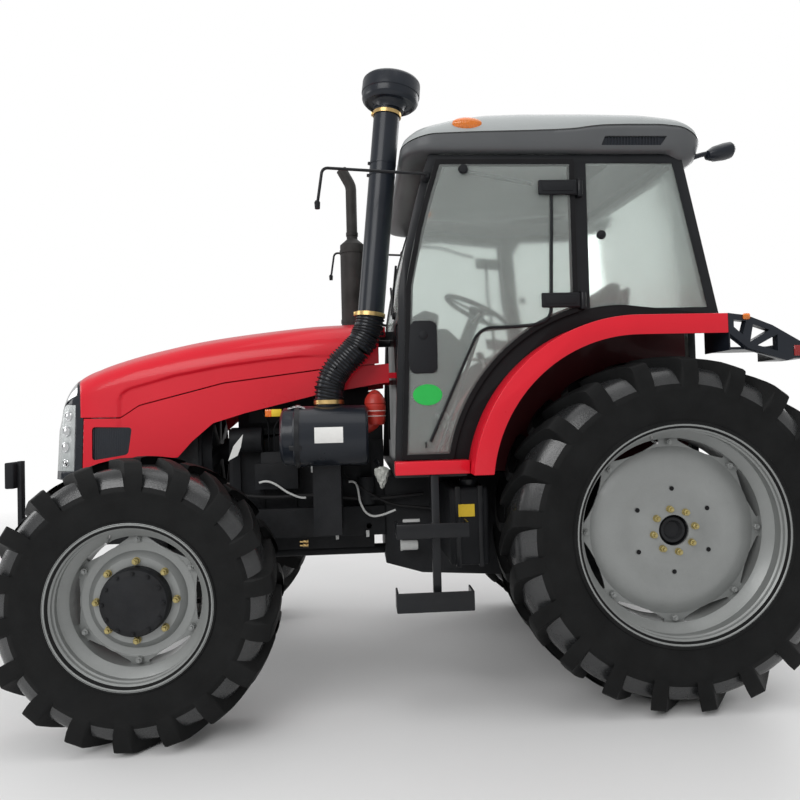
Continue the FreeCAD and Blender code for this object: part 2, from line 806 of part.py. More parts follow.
def make_front_frame():
    parts = []
    rail = box("Rail", (ahead("engine_rear"), ahead("rail_front")),
               ("rail_out - rail_thickness", "rail_out"), ("rail_bottom", "rail_top"))
    parts += [rail, mirror("RailTwin", rail)]
    for tag, low in (("Front", f"{PIVOT_X} + beam_half_depth + hanger_gap"),
                     ("Rear", f"{PIVOT_X} - beam_half_depth - hanger_gap - hanger_thickness")):
        hanger = pad(f"{tag}Hanger", "front", [[
            ("-80", f"{AXLE_Z} - 60"),
            ("80", f"{AXLE_Z} - 60"),
            ("hanger_half_width", "rail_bottom"),
            ("rail_out - rail_thickness", "rail_bottom"),
            ("rail_out - rail_thickness", "rail_top - 40"),
            ("-(rail_out - rail_thickness)", "rail_top - 40"),
            ("-(rail_out - rail_thickness)", "rail_bottom"),
            ("-hanger_half_width", "rail_bottom"),
        ]], low, f"{low} + hanger_thickness")
        parts.append(hanger)
    pin = rod("PivotPin", "x", f"{PIVOT_X} - beam_half_depth - hanger_gap - hanger_thickness", "0", AXLE_Z,
              "pivot_pin_radius", "(beam_half_depth + hanger_gap + hanger_thickness) * 2")
    node("front_frame", fuse("FrontFrame", *parts, pin))
    carrier = box("CarrierPlate", (ahead("rail_front"), ahead("rail_front + carrier_depth")),
                  ("-rail_out", "rail_out"), ("rail_bottom - 60", "rail_top + 40"))
    hole = rod("TowHole", "z", ahead("rail_front + 75"), "0", "rail_bottom - 100", "drawbar_bore", 400)
    slot = box("TowSlot", (ahead("rail_front + 30"), ahead("rail_front + carrier_depth + 1")),
               ("-120", "120"), ("rail_bottom", "rail_bottom + 90"))
    front = "wheelbase + front_overhang"
    arm = box("MarkerArm", (ahead("rail_front + 60"), ahead(f"{front} - marker_bar_setback")),
              ("rail_out", "marker_bar_out"), ("rail_top - 20", "rail_top + 20"))
    post = box("MarkerPost", (ahead(f"{front} - marker_bar_setback - 20"),
                              ahead(f"{front} - marker_bar_setback")),
               ("marker_bar_in", "marker_bar_out"), ("rail_top + 20", "marker_top + 5"))
    carrier = cut("CarrierBored", carrier, slot, hole)
    node("weight_carrier", fuse("WeightCarrier", carrier, arm, post, mirror("MarkerArmTwin", arm),
                                mirror("MarkerPostTwin", post)))
    plate = box("MarkerPlate", (ahead(f"{front} - marker_bar_setback"), ahead(front)),
                ("marker_in", "marker_out"), ("marker_bottom", "marker_top"))
    node("marker_plates", pair("MarkerPlates", plate))


def make_engine():
    # columns: name, ahead of the engine's rear, across, height
    blocks = (
        ("Crankcase", ("0", "engine_front - engine_rear"), ("-engine_half_width", "engine_half_width"),
         ("engine_bottom", "engine_top")),
        ("FlywheelHousing", ("0", "70"), ("-195", "195"), ("engine_bottom", "engine_top - 80")),
        ("TimingCase", ("engine_front - engine_rear - 60", "engine_front - engine_rear"), ("-190", "190"),
         ("engine_bottom", "engine_top")),
        ("OilPan", ("60", "engine_front - engine_rear - 60"), ("-pan_half_width", "pan_half_width"),
         ("pan_bottom", "engine_bottom")),
        ("CylinderHead", ("40", "engine_front - engine_rear - 40"), ("-head_half_width", "head_half_width"),
         ("engine_top", "head_top")),
        ("IntakeRail", ("20", "engine_front - engine_rear - 110"),
         ("head_half_width", "head_half_width + 80"), ("engine_top + 30", "head_top + 50")),
        ("ExhaustRail", ("110", "engine_front - engine_rear - 110"),
         ("-(head_half_width + 80)", "-head_half_width"), ("engine_top + 20", "head_top - 30")),
        ("FuelPump", ("470", "700"), ("engine_half_width", "engine_half_width + 105"),
         ("engine_top - 330", "engine_top - 190")),
        ("PumpHead", ("500", "670"), ("engine_half_width + 20", "engine_half_width + 80"),
         ("engine_top - 190", "engine_top - 130")),
        ("OilCooler", ("130", "400"), ("engine_half_width", "engine_half_width + 55"),
         ("engine_top - 400", "engine_top - 220")),
    )
    parts = [box(name, (ahead(f"engine_rear + {x[0]}"), ahead(f"engine_rear + {x[1]}")), y, z)
             for name, x, y, z in blocks]
    for number in range(4):
        start = f"engine_rear + 75 + {number * 178}"
        parts.append(box(f"RockerCover{number}", (ahead(start), ahead(f"{start} + 150")),
                         ("-head_half_width + 20", "head_half_width - 20"), ("head_top", "cover_top")))
        parts.append(box(f"Rib{number}", (ahead(f"{start} + 55"), ahead(f"{start} + 80")),
                         ("-engine_half_width - 15", "engine_half_width + 15"),
                         ("engine_bottom + 40", "engine_top - 40")))
    # columns: name, axis, ahead of the engine's rear, across, height, radius, length
    barrels = (
        ("Starter", "x", "60", "-215", "engine_top - 330", "58", "270"),
        ("Turbocharger", "x", "400", "-235", "head_top - 75", "72", "150"),
        ("TurboFlange", "y", "475", "-240", "head_top - 75", "45", "70"),
        ("Alternator", "x", "engine_front - engine_rear - 190", "225", "engine_top - 60", "68", "165"),
        ("FuelFilterFront", "z", "430", "215", "engine_top - 110", "42", "165"),
        ("FuelFilterRear", "z", "330", "215", "engine_top - 110", "42", "165"),
        ("OilFilter", "z", "100", "225", "engine_bottom + 150", "48", "150"),
        ("CrankPulley", "x", "engine_front - engine_rear - 5", "0", "engine_bottom + 110", "95", "40"),
        ("FanPulley", "x", "engine_front - engine_rear - 5", "0", "engine_top - fan_drop", "75", "60"),
        ("FanHub", "x", "engine_front - engine_rear", "0", "engine_top - fan_drop", "45", "120"),
    )
    for name, axis, x, y, z, radius, length in barrels:
        parts.append(rod(name, axis, ahead(f"engine_rear + {x}"), y, z, radius, length))
    blades = []
    for number in range(7):
        blade = box(f"FanBlade{number}", ("0", "fan_blade_depth"),
                    ("-fan_blade_half_width", "fan_blade_half_width"), ("20", "fan_radius"))
        blades.append(spun(blade, "x", number * 360 / 7))
    fan = place(fuse("FanBlades", *blades), ahead("engine_front + 80"), 0, "engine_top - fan_drop")
    node("engine", fuse("Engine", *parts, fan))
    core = box("RadiatorCore", (ahead("radiator_rear"), ahead("radiator_rear + radiator_depth")),
               ("-radiator_half_width", "radiator_half_width"), ("rail_top", "radiator_top"))
    tank = box("RadiatorTank", (ahead("radiator_rear - 12"), ahead("radiator_rear + radiator_depth + 12")),
               ("-radiator_half_width + 10", "radiator_half_width - 10"),
               ("radiator_top - 70", "radiator_top + 8"))
    node("radiator", fuse("Radiator", core, tank))
    shaft = rod("DriveShaft", "x", ahead("engine_rear"), "0", AXLE_Z, "shaft_radius",
                "wheelbase - beam_half_depth - hanger_gap - hanger_thickness - engine_rear")
    node("drive_shaft", shaft)


def make_driveline():
    gearbox = pad("Gearbox", "side", [[
        (ahead("gearbox_rear"), "gearbox_bottom + 80"),
        (ahead("gearbox_rear + 250"), "gearbox_bottom"),
        (ahead("engine_rear - 200"), "gearbox_bottom + 40"),
        (ahead("engine_rear"), "gearbox_bottom + 100"),
        (ahead("engine_rear"), "gearbox_top"),
        (ahead("gearbox_rear"), "gearbox_top"),
    ]], "-gearbox_half_width", "gearbox_half_width")
    node("gearbox", gearbox)
    case = pad("AxleCase", "side", [[
        (ahead("axle_case_rear"), "axle_case_bottom + 80"),
        (ahead("axle_case_rear + 120"), "axle_case_bottom"),
        (ahead("gearbox_rear"), "axle_case_bottom"),
        (ahead("gearbox_rear"), "lift_case_top - 60"),
        (ahead("axle_case_rear"), "lift_case_top - 60"),
    ]], "-axle_case_half_width", "axle_case_half_width")
    trumpet = turned("Trumpet", "y", [
        ("axle_case_half_width", "0"),
        ("trumpet_end", "0"),
        ("trumpet_end", "trumpet_flange_radius"),
        ("trumpet_end - trumpet_flange_thickness", "trumpet_flange_radius"),
        ("trumpet_end - trumpet_flange_thickness", "trumpet_radius"),
        ("axle_case_half_width + 60", "trumpet_radius + 20"),
        ("axle_case_half_width", "trumpet_radius + 60"),
    ], REAR_AXLE, 0, "rear_tyre_radius")
    housing = [case, trumpet, mirror("TrumpetTwin", trumpet)]
    lift_case = box("LiftCase", (ahead("rocker_ahead - rocker_radius * 1.8"), ahead("lift_case_front")),
                    ("-lift_case_half_width", "lift_case_half_width"),
                    ("lift_case_top - 60", "lift_case_top"))
    saddle = box("RockerSaddle", (ahead("rocker_ahead"), ahead("axle_case_rear")),
                 ("-lift_case_half_width", "lift_case_half_width"),
                 ("rocker_height - rocker_radius * 1.8", "lift_case_top"))
    boss = rod("RockerBoss", "y", ahead("rocker_ahead"), "-(lift_arm_out - link_thickness) + 1",
               "rocker_height", "rocker_radius * 1.8", "(lift_arm_out - link_thickness) * 2 - 2")
    bore = rod("RockerBore", "y", ahead("rocker_ahead"), "-500", "rocker_height",
               "rocker_radius + running_gap", 1000)
    node("lift_housing", cut("LiftHousing", fuse("LiftSolid", lift_case, boss, saddle), bore))
    return housing


# Tanks, steps and sills

def make_tanks_and_steps():
    tank = box("Tank", (ahead("tank_rear"), ahead("tank_front")), ("gearbox_half_width", "tank_out"),
               ("tank_bottom", "tank_top"))
    node("fuel_tank", tank)
    node("battery_box", mirror("BatteryBox", tank))
    trays = []
    # columns: name, rear, front, bottom, top
    for name, rear, front, bottom, top in (("Lower", 957, 1312, 496, 586), ("Upper", 971, 1308, 830, 897)):
        tray = box(f"{name}Step", (ahead(rear), ahead(front)), ("step_in", "step_out"), (bottom, top))
        hollow = box(f"{name}Hollow", (ahead(f"{rear} + tray_wall"), ahead(f"{front} - tray_wall")),
                     ("step_in - tray_wall", "step_out - tray_wall"),
                     (f"{bottom} + tray_wall", f"{top} + 1"))
        trays.append(cut(f"{name}Tray", tray, hollow))
    post = box("StepPost", (ahead("step_post_rear"), ahead("step_post_rear + step_post_width")),
               ("sill_out - 40", "sill_out - 10"), ("496", "sill_bottom"))
    steps = fuse("StepsWhole", *trays, post)
    node("cab_steps", pair("CabSteps", steps))
    sill = box("Sill", (ahead(FENDER_FOOT), ahead("cab_front + 5")), ("cab_out", "sill_out"),
               ("sill_bottom", "sill_top"))
    node("sills", pair("Sills", sill))


# Fenders: a quarter circle over the wheel and a level run behind it

FENDER_TOP = "(fender_centre_height + fender_radius)"
SIDE_SILL = f"({FENDER_TOP} + arch_strip)"
HINGE_HEIGHTS = {"upper": "upper_hinge_height", "lower": f"({FENDER_TOP} + lower_hinge_rise)"}

FENDER_FOOT = ("fender_centre_ahead + sqrt(fender_radius * fender_radius"
               " - (sill_bottom - fender_centre_height) * (sill_bottom - fender_centre_height))")


def arch(offset, low):
    """The two ends and the radius of the arc that lies an offset outside the fender's top."""
    radius = f"(fender_radius + {offset})"
    drop = f"({low} - fender_centre_height)"
    foot = f"fender_centre_ahead + sqrt({radius} * {radius} - {drop} * {drop})"
    return ahead(foot), ahead("fender_centre_ahead"), f"fender_centre_height + {radius}", radius


def make_fenders():
    foot, top_x, top_z, radius = arch("0", "sill_bottom")
    skin_foot, _, skin_z, skin_radius = arch("-fender_skin", "sill_bottom")
    lip_foot, _, lip_z, lip_radius = arch("-fender_band", "sill_bottom")
    rear = ahead("fender_rear")

    def strip(name, in_foot, in_z, in_radius, low, high):
        return pad(name, "side", [[
            (in_foot, "sill_bottom"),
            (foot, "sill_bottom", radius),
            (top_x, top_z),
            (rear, top_z),
            (rear, in_z),
            (top_x, in_z, f"-{in_radius}"),
        ]], low, high)

    skin = strip("FenderSkin", skin_foot, skin_z, skin_radius, "fender_in", "fender_out")
    lip = strip("FenderLip", lip_foot, lip_z, lip_radius, "fender_out - fender_skin", "fender_out")
    wall = pad("FenderWall", "side", [[
        (rear, "floor_bottom"),
        (ahead("900"), "floor_bottom"),
        (ahead("900"), "sill_bottom"),
        (foot, "sill_bottom", radius),
        (top_x, top_z),
        (rear, top_z),
    ]], "fender_in", "fender_in + fender_skin")
    fender = fuse("Fender", skin, lip, wall)
    node("fenders", pair("Fenders", fender))
    # columns: ahead, height
    windows = (
        ((-276, 1762), (-276, 1795), (-336, 1788), (-318, 1725)),
        ((-352, 1692), (-368, 1772), (-448, 1745)),
        ((-388, 1675), (-484, 1724), (-484, 1647)),
    )
    under = [(ahead(x), z) for x, z in ((-560, 1611), (-527, 1601), (-343, 1661))]
    over = [(ahead(x), z) for x, z in ((-340, 1815), (-460, 1768), (-600, 1687))]
    bracket = pad("LampBracket", "side", [
        under + [(rear, f"{FENDER_TOP} - fender_band"), (rear, FENDER_TOP)] + over,
        *[[(ahead(x), z) for x, z in window] for window in windows],
    ], "fender_out - pod_bracket_width", "fender_out")
    lamp = box("TailLamp", (ahead("tail_lamp_rear"), ahead("tail_lamp_front")),
               ("fender_out - pod_width", "fender_out"), ("tail_lamp_bottom", "tail_lamp_top"))
    shelf = box("LampShelf", (ahead("tail_lamp_rear + 40"), rear),
                ("fender_out - pod_width", "fender_out - pod_bracket_width"),
                ("tail_lamp_top - 22", "tail_lamp_top - 10"))
    foot = box("PodFoot", (ahead("fender_rear - 6"), rear), ("fender_out - pod_width", "fender_out"),
               (f"{FENDER_TOP} - fender_band - 80", FENDER_TOP))
    node("rear_lamp_pods", pair("LampPods", fuse("LampPod", bracket, lamp, shelf, foot)))


# Cab

def pillar(inset):
    """The front pillar's line from the knee to the top, an inset behind its outer face."""
    return ahead(f"pillar_knee_ahead - {inset}"), ahead(f"pillar_top_ahead - {inset}")


def make_cab_frame():
    foot, top_x, top_z, radius = arch("0", "sill_bottom")
    rear = ahead("rear_pillar_foot_ahead")
    strip_foot, _, _, strip_radius = arch("arch_strip", "sill_top")
    outer = [
        (ahead("cab_front"), "sill_bottom"),
        (ahead("pillar_knee_ahead"), "pillar_knee_height", "pillar_curve"),
        (ahead("pillar_top_ahead"), "cab_top"),
        (ahead("rear_pillar_top_ahead"), "cab_top"),
        (rear, FENDER_TOP),
        (top_x, top_z, f"-{radius}"),
        (foot, "sill_bottom"),
    ]
    door = [
        (ahead("cab_front - pillar_width"), "sill_top + 1"),
        (pillar("pillar_width")[0], "pillar_knee_height", "pillar_curve"),
        (pillar("pillar_width")[1], "cab_top - top_rail"),
        (ahead("door_post_front"), "cab_top - top_rail"),
        (ahead("door_post_front"), f"fender_centre_height + sqrt({strip_radius} * {strip_radius} - "
                                   "(door_post_front - fender_centre_ahead)"
                                   " * (door_post_front - fender_centre_ahead))", f"-{strip_radius}"),
        (strip_foot, "sill_top + 1"),
    ]
    quarter = [
        (ahead("door_post_rear"), SIDE_SILL),
        (ahead("door_post_rear"), "cab_top - top_rail"),
        (ahead("rear_pillar_top_ahead + rear_pillar_width"), "cab_top - top_rail"),
        (ahead("rear_pillar_foot_ahead + rear_pillar_width + 15"), SIDE_SILL),
    ]
    side = pad("CabSide", "side", [outer, door, quarter], "cab_out - frame_thickness", "cab_out")
    pins = []
    for tag in ("upper", "lower"):
        level = HINGE_HEIGHTS[tag]
        pin = rod(f"{tag}HingePin", "z", ahead("hinge_ahead"), "hinge_out", f"{level} - hinge_height / 2",
                  "hinge_pin_radius", "hinge_height")
        ear = box(f"{tag}HingeEar", (ahead("hinge_ahead - 12"), ahead("hinge_ahead + 12")),
                  ("cab_out", "hinge_out + hinge_pin_radius + 4"),
                  (f"{level} - hinge_height / 2 - 8", f"{level} - hinge_height / 2"))
        cap = box(f"{tag}HingeCap", (ahead("hinge_ahead - 12"), ahead("hinge_ahead + 12")),
                  ("cab_out", "hinge_out + hinge_pin_radius + 4"),
                  (f"{level} + hinge_height / 2", f"{level} + hinge_height / 2 + 8"))
        pins += [pin, ear, cap]
    half = fuse("CabHalf", side, *pins)
    inside = "cab_out - frame_thickness"
    header = box("FrontHeader", (ahead("pillar_top_ahead - pillar_width - glass_thickness - 12"),
                                 ahead("pillar_top_ahead - glass_thickness - 12")),
                 (f"-({inside})", inside), ("cab_top - top_rail", "cab_top"))
    rear_header = box("RearHeader", (ahead("rear_pillar_top_ahead + 12"),
                                     ahead("rear_pillar_top_ahead + 52")),
                      (f"-({inside})", inside), ("cab_top - top_rail", "cab_top"))
    node("cab_frame", fuse("CabFrame", half, mirror("CabHalfTwin", half), header, rear_header))


def make_cab_panels():
    inside = "cab_out - frame_thickness"
    wide = "fender_in"
    floor = pad("Floor", "plan", [[
        (ahead("rear_pillar_foot_ahead"), f"-{wide}"),
        (ahead(FENDER_FOOT), f"-{wide}"),
        (ahead(FENDER_FOOT), "-cab_out"),
        (ahead("cab_front"), "-cab_out"),
        (ahead("cab_front"), "cab_out"),
        (ahead(FENDER_FOOT), "cab_out"),
        (ahead(FENDER_FOOT), wide),
        (ahead("rear_pillar_foot_ahead"), wide),
    ]], "floor_bottom", "sill_bottom")
    node("cab_floor", floor)
    front = pad("FrontWall", "front", [
        [(f"-({inside})", "sill_bottom"), (inside, "sill_bottom"), (inside, "window_sill"),
         (f"-({inside})", "window_sill")],
        [("side_window_in", "side_window_bottom"), (f"{inside} - 25", "side_window_bottom"),
         (f"{inside} - 25", "window_sill - 40"), ("side_window_in", "window_sill - 40")],
        [(f"-({inside} - 25)", "side_window_bottom"), ("-side_window_in", "side_window_bottom"),
         ("-side_window_in", "window_sill - 40"), (f"-({inside} - 25)", "window_sill - 40")],
    ], ahead("pillar_knee_ahead - wall_thickness"), ahead("pillar_knee_ahead"))
    ear = box("HoodEar", (ahead("pillar_knee_ahead"), ahead("hood_pivot_ahead + 18")),
              ("hood_lug_out - running_gap - 12", "hood_lug_out - running_gap"),
              ("hood_pivot_height - 35", "hood_pivot_height + 12"))
    pin = rod("HoodPin", "y", ahead("hood_pivot_ahead"), "hood_lug_out - running_gap - 6",
              "hood_pivot_height", "hood_pin_radius", "hood_lug_thickness + 16")
    hinge = fuse("HoodHinge", ear, pin)
    node("cab_front_wall", fuse("FrontWallWithHinge", front, hinge, mirror("HoodHingeTwin", hinge)))
    rear = pad("RearWall", "front", [[
        (f"-{wide}", "sill_bottom"), (wide, "sill_bottom"),
        (wide, FENDER_TOP), (inside, FENDER_TOP),
        (inside, SIDE_SILL), (f"-({inside})", SIDE_SILL),
        (f"-({inside})", FENDER_TOP),
        (f"-{wide}", FENDER_TOP),
    ]], ahead("rear_pillar_foot_ahead + 10"), ahead("rear_pillar_foot_ahead + 50"))
    node("cab_rear_wall", rear)


def make_glass():
    inside = "cab_out - frame_thickness"
    shield = pad("Windscreen", "side", [[
        (ahead("pillar_knee_ahead - 12 - glass_thickness"), "window_sill"),
        (ahead("pillar_knee_ahead - 12"), "window_sill"),
        (ahead("pillar_knee_ahead - 12"), "pillar_knee_height", "pillar_curve"),
        (ahead("pillar_top_ahead - 12"), "cab_top"),
        (ahead("pillar_top_ahead - 12 - glass_thickness"), "cab_top", "-pillar_curve"),
        (ahead("pillar_knee_ahead - 12 - glass_thickness"), "pillar_knee_height"),
    ]], f"-({inside})", inside)
    low = box("LowerGlass", (ahead("pillar_knee_ahead - 20"),
                             ahead("pillar_knee_ahead - 20 + glass_thickness")),
              ("side_window_in", f"{inside} - 25"), ("side_window_bottom", "window_sill - 40"))
    front = document.addObject("Part::Compound", "FrontGlass")
    front.Links = [shield, low, mirror("LowerGlassTwin", low)]
    node("front_glass", front)
    quarter = pad("QuarterGlass", "side", [[
        (ahead("door_post_rear"), SIDE_SILL),
        (ahead("door_post_rear"), "cab_top - top_rail"),
        (ahead("rear_pillar_top_ahead + rear_pillar_width"), "cab_top - top_rail"),
        (ahead("rear_pillar_foot_ahead + rear_pillar_width + 15"), SIDE_SILL),
    ]], "cab_out - 10", "cab_out - 10 + glass_thickness")
    node("quarter_glass", pair("QuarterPanes", quarter))
    rear = pad("RearGlass", "side", [[
        (ahead("rear_pillar_foot_ahead + 18"), SIDE_SILL),
        (ahead("rear_pillar_foot_ahead + 18 + glass_thickness"), SIDE_SILL),
        (ahead("rear_pillar_top_ahead + 12"), "cab_top"),
        (ahead("rear_pillar_top_ahead + 12 - glass_thickness"), "cab_top"),
    ]], f"-({inside})", inside)
    node("rear_glass", rear)


def make_doors():
    base = "sill_top + moving_gap"

    def edge(inset):
        radius = f"(fender_radius + arch_strip + door_edge_clearance + {inset})"
        low = f"({base} + {inset} - fender_centre_height)"
        rear = f"(door_rear + {inset})"
        run = f"({rear} - fender_centre_ahead)"
        return [
            (ahead(f"cab_front - pillar_width + 12 - {inset}"), f"{base} + {inset}"),
            (ahead(f"pillar_knee_ahead - pillar_width + 12 - {inset}"), "pillar_knee_height",
             "pillar_curve"),
            (ahead(f"pillar_top_ahead - pillar_width + 12 - {inset}"), f"cab_top - top_rail + 12 - {inset}"),
            (ahead(rear), f"cab_top - top_rail + 12 - {inset}"),
            (ahead(rear), f"fender_centre_height + sqrt({radius} * {radius} - {run} * {run})",
             f"-{radius}"),
            (ahead(f"fender_centre_ahead + sqrt({radius} * {radius} - {low} * {low})"), f"{base} + {inset}"),
        ]

    inner = "cab_out + moving_gap"
    ring = pad("DoorRing", "side", [edge("0"), edge("door_frame_width")], inner,
               f"{inner} + door_frame_thickness")
    parts = [ring]
    for tag in ("upper", "lower"):
        level = HINGE_HEIGHTS[tag]
        length = "hinge_height - running_gap * 2"
        barrel = rod(f"{tag}HingeBarrel", "z", ahead("hinge_ahead"), "hinge_out",
                     f"{level} - hinge_height / 2 + running_gap", "hinge_barrel_radius", length)
        leaf = box(f"{tag}HingeLeaf", (ahead("hinge_ahead"), ahead("door_rear + 150")),
                   (f"{inner} + door_frame_thickness + glass_thickness",
                    f"{inner} + door_frame_thickness + glass_thickness + 8"),
                   (f"{level} - hinge_height / 2 + running_gap",
                    f"{level} + hinge_height / 2 - running_gap"))
        parts += [barrel, leaf]
    out = f"{inner} + 1"
    tube = bent_tube("DoorTube", [
        (ahead("door_rear + 24"), out, "upper_hinge_height"),
        (ahead("door_rear + 115"), out, "upper_hinge_height"),
        (ahead("door_rear + 132"), out, "1820"),
        (ahead("door_rear + 480"), out, "1790"),
        (ahead("door_rear + 700"), out, "sill_top + 20"),
    ], "door_tube_radius", "42")
    lock = box("LockBox", (ahead("lock_rear"), ahead("lock_front")), (f"{inner} - lock_depth", inner),
               ("lock_bottom", "lock_top"))
    plate = box("LockPlate", (ahead("lock_rear"), ahead("lock_plate_front")),
                (inner, f"{inner} + door_frame_thickness"), ("lock_bottom", "lock_top"))
    parts += [tube, lock, plate]
    bores = [rod(f"{tag}HingeBore", "z", ahead("hinge_ahead"), "hinge_out",
                 f"{HINGE_HEIGHTS[tag]} - hinge_height", "hinge_pin_radius + running_gap",
                 "hinge_height * 2") for tag in ("upper", "lower")]
    door = cut("Door", fuse("DoorWhole", *parts), *bores)
    node("door_left", door)
    node("door_right", mirror("DoorTwin", door))
    glass = pad("DoorGlass", "side", [edge("0")], f"{inner} + door_frame_thickness",
                f"{inner} + door_frame_thickness + glass_thickness")
    node("door_glass_left", glass)
    node("door_glass_right", mirror("DoorGlassTwin", glass))


# Roof: rounded rectangles stacked from the rim up to the crown, joined by straight-lined surfaces

def rounded_rectangle(rear, front, half_width, corner, height):
    spots = [(rear, -half_width), (front, -half_width), (front, half_width), (rear, half_width)]
    edges = []
    count = len(spots)
    arcs = []
    for index, spot in enumerate(spots):
        here = VECTOR(*spot, height)
        back = (VECTOR(*spots[index - 1], height) - here).normalize()
        onward = (VECTOR(*spots[(index + 1) % count], height) - here).normalize()
        middle = here + (back + onward) * corner * (1 - math.sqrt(0.5))
        arcs.append(Part.Arc(here + back * corner, middle, here + onward * corner).toShape())
    for index, arc in enumerate(arcs):
        edges.append(arc)
        edges.append(Part.makeLine(arc.lastVertex().Point, arcs[(index + 1) % count].firstVertex().Point))
    return Part.Wire(edges)


def make_roof():
    # columns: height, inset of the rear end, of the front end and of the sides, corner radius
    sections = (
        ("cab_top", 60, 60, 30, 90),
        ("roof_lip_height", 0, 0, 0, 120),
        ("roof_seam_height - 18", 6, 34, 4, 125),
        ("roof_seam_height", 14, 66, 10, 130),
        ("roof_seam_height + 42", 48, 140, 42, 140),
        ("roof_shoulder_height", 96, 215, 115, 150),
        ("roof_crown - 38", 150, 400, 210, 170),
        ("roof_crown", 300, 680, 360, 180),
    )
    roof_front = value(ahead("pillar_top_ahead + roof_overhang"))
    rims = [(value(ahead("roof_rear")) + rear, roof_front - front, value("roof_out") - side, corner,
             value(height)) for height, rear, front, side, corner in sections]
    shell = Part.makeLoft([rounded_rectangle(*rim) for rim in rims], True, True)
    depth = value("roof_groove")
    rear, front, side, corner, height = rims[3]
    outside = Part.Face(rounded_rectangle(rear - 50, front + 50, side + 50, corner, height))
    inside = Part.Face(rounded_rectangle(rear + depth, front - depth, side - depth, corner, height))
    groove = outside.cut(inside).extrude(VECTOR(0, 0, depth))
    recess = Part.makeBox(value("recess_length"), value("recess_depth") + 20, value("recess_height"), VECTOR(
        value(ahead("recess_rear")), value("roof_out - recess_depth"), value("roof_lip_height") - 10))
    roof = document.addObject("Part::Feature", "Roof")
    roof.Shape = shell.cut([groove, recess, recess.mirror(VECTOR(), VECTOR(0, 1, 0))])
    node("cab_roof", roof)


# Cab inside

def make_interior():
    wall = "pillar_knee_ahead - wall_thickness"
    # columns: ahead, height
    outline = ((1060, "sill_bottom"), (wall, "sill_bottom"), (wall, 1870), (960, 1870), (850, 1770),
               (900, 1640), (1060, 1400))
    console = pad("Console", "side", [[(ahead(x), z) for x, z in outline]], "-console_half_width",
                  "console_half_width")
    base = box("SeatBase", (ahead("80"), ahead("460")), ("-seat_base_half_width", "seat_base_half_width"),
               ("sill_bottom", "seat_height"))
    node("seat_base", base)
    cushion = box("SeatCushion", (ahead("40"), ahead("540")), ("-cushion_half_width", "cushion_half_width"),
                  ("seat_height", "cushion_top"))
    # columns: ahead, height
    outline = ((-60, "cushion_top"), (80, "cushion_top"), (10, "backrest_top"), (-100, "backrest_top"))
    back = pad("SeatBack", "side", [[(ahead(x), z) for x, z in outline]], "-backrest_half_width",
               "backrest_half_width")
    node("seat", fuse("Seat", cushion, back))
    node("steering_wheel", make_steering_wheel())
    tilt = SIZES["steering_tilt"]
    slope = math.radians(tilt)
    under = "(steering_hub_height - steering_hub_height / 4 + running_gap)"
    column = document.addObject("Part::Cylinder", "SteeringColumn")
    bind(column, "Radius", "column_radius")
    bind(column, "Height", "column_length")
    column.Placement = FreeCAD.Placement(VECTOR(), FreeCAD.Rotation(AXES["y"], 180 - tilt))
    place(column, ahead(f"steering_ahead + {under} * {math.sin(slope)}"), 0,
          f"steering_height - {under} * {math.cos(slope)}")
    node("dash_console", fuse("ConsoleWithColumn", console, column))


def make_steering_wheel():
    """A ring on a cross of spokes, with its hub below, tilted towards the seat."""
    grip = value("steering_grip")
    middle = value("steering_ring_radius")
    turns = [math.pi * step / 5 for step in range(10)]
    outline = [(grip * math.sin(turn), middle + grip * math.cos(turn)) for turn in turns]
    ring = feature("SteeringRing", faceted_ring(outline, 40))
    ring.Placement = FreeCAD.Placement(VECTOR(), TURNS["y"])
    reach = ("-steering_ring_radius + 3", "steering_ring_radius - 3")
    width = ("-spoke_width / 2", "spoke_width / 2")
    height = ("-spoke_thickness / 2", "spoke_thickness / 2")
    hub = rod("SteeringHub", "z", 0, 0, "-steering_hub_height * 0.75", "steering_hub_radius",
              "steering_hub_height")
    wheel = fuse("SteeringWheel", ring, box("SteeringSpoke", reach, width, height),
                 box("SteeringCross", width, reach, height), hub)
    wheel.Placement = FreeCAD.Placement(VECTOR(), FreeCAD.Rotation(AXES["y"], -SIZES["steering_tilt"]))
    return place(wheel, ahead("steering_ahead"), 0, "steering_height")


# Hood: straight-lined loft over cross-sections that stand across the tractor

# columns: share of the hood's length, drop of the crown, crown's end (out, drop), shoulder's end
# (out, drop), half width at the foot
HOOD_SECTIONS = (
    (0.000, 0, 318, 47, 398, 170, 405),
    (0.200, 20, 316, 68, 391, 184, 400),
    (0.400, 52, 308, 103, 381, 212, 393),
    (0.560, 88, 297, 143, 368, 262, 387),
    (0.700, 136, 284, 196, 351, 305, 379),
    (0.810, 187, 269, 248, 332, 350, 366),
    (0.890, 236, 252, 296, 313, 389, 351),
    (0.940, 289, 232, 346, 288, 434, 327),
    (0.975, 359, 202, 412, 258, 494, 298),
    (1.000, 475, 150, 510, 205, 565, 240),
)
# columns: share of the hood's length, drop below the crown
HOOD_SEAM = ((-0.030, 241), (0.184, 269), (0.474, 327), (0.731, 434), (0.788, 498), (0.900, 493))
WHEEL_ARCH = ((0.900, 812), (0.790, 812), (0.782, 718), (0.614, 713), (0.571, 632), (0.507, 539),
              (0.409, 490), (0.199, 407), (0.000, 352), (-0.030, 347))
SIDE_OPENING = ((0.873, 543), (0.7535, 550), (0.7625, 690), (0.871, 717))


def hood_spot(share, drop, out=0.0):
    """A place given by its share of the hood's length and its drop below the crown."""
    return VECTOR(value(ahead(f"hood_rear + {share} * (hood_front - hood_rear)")), out,
                  value("hood_crown") - drop)


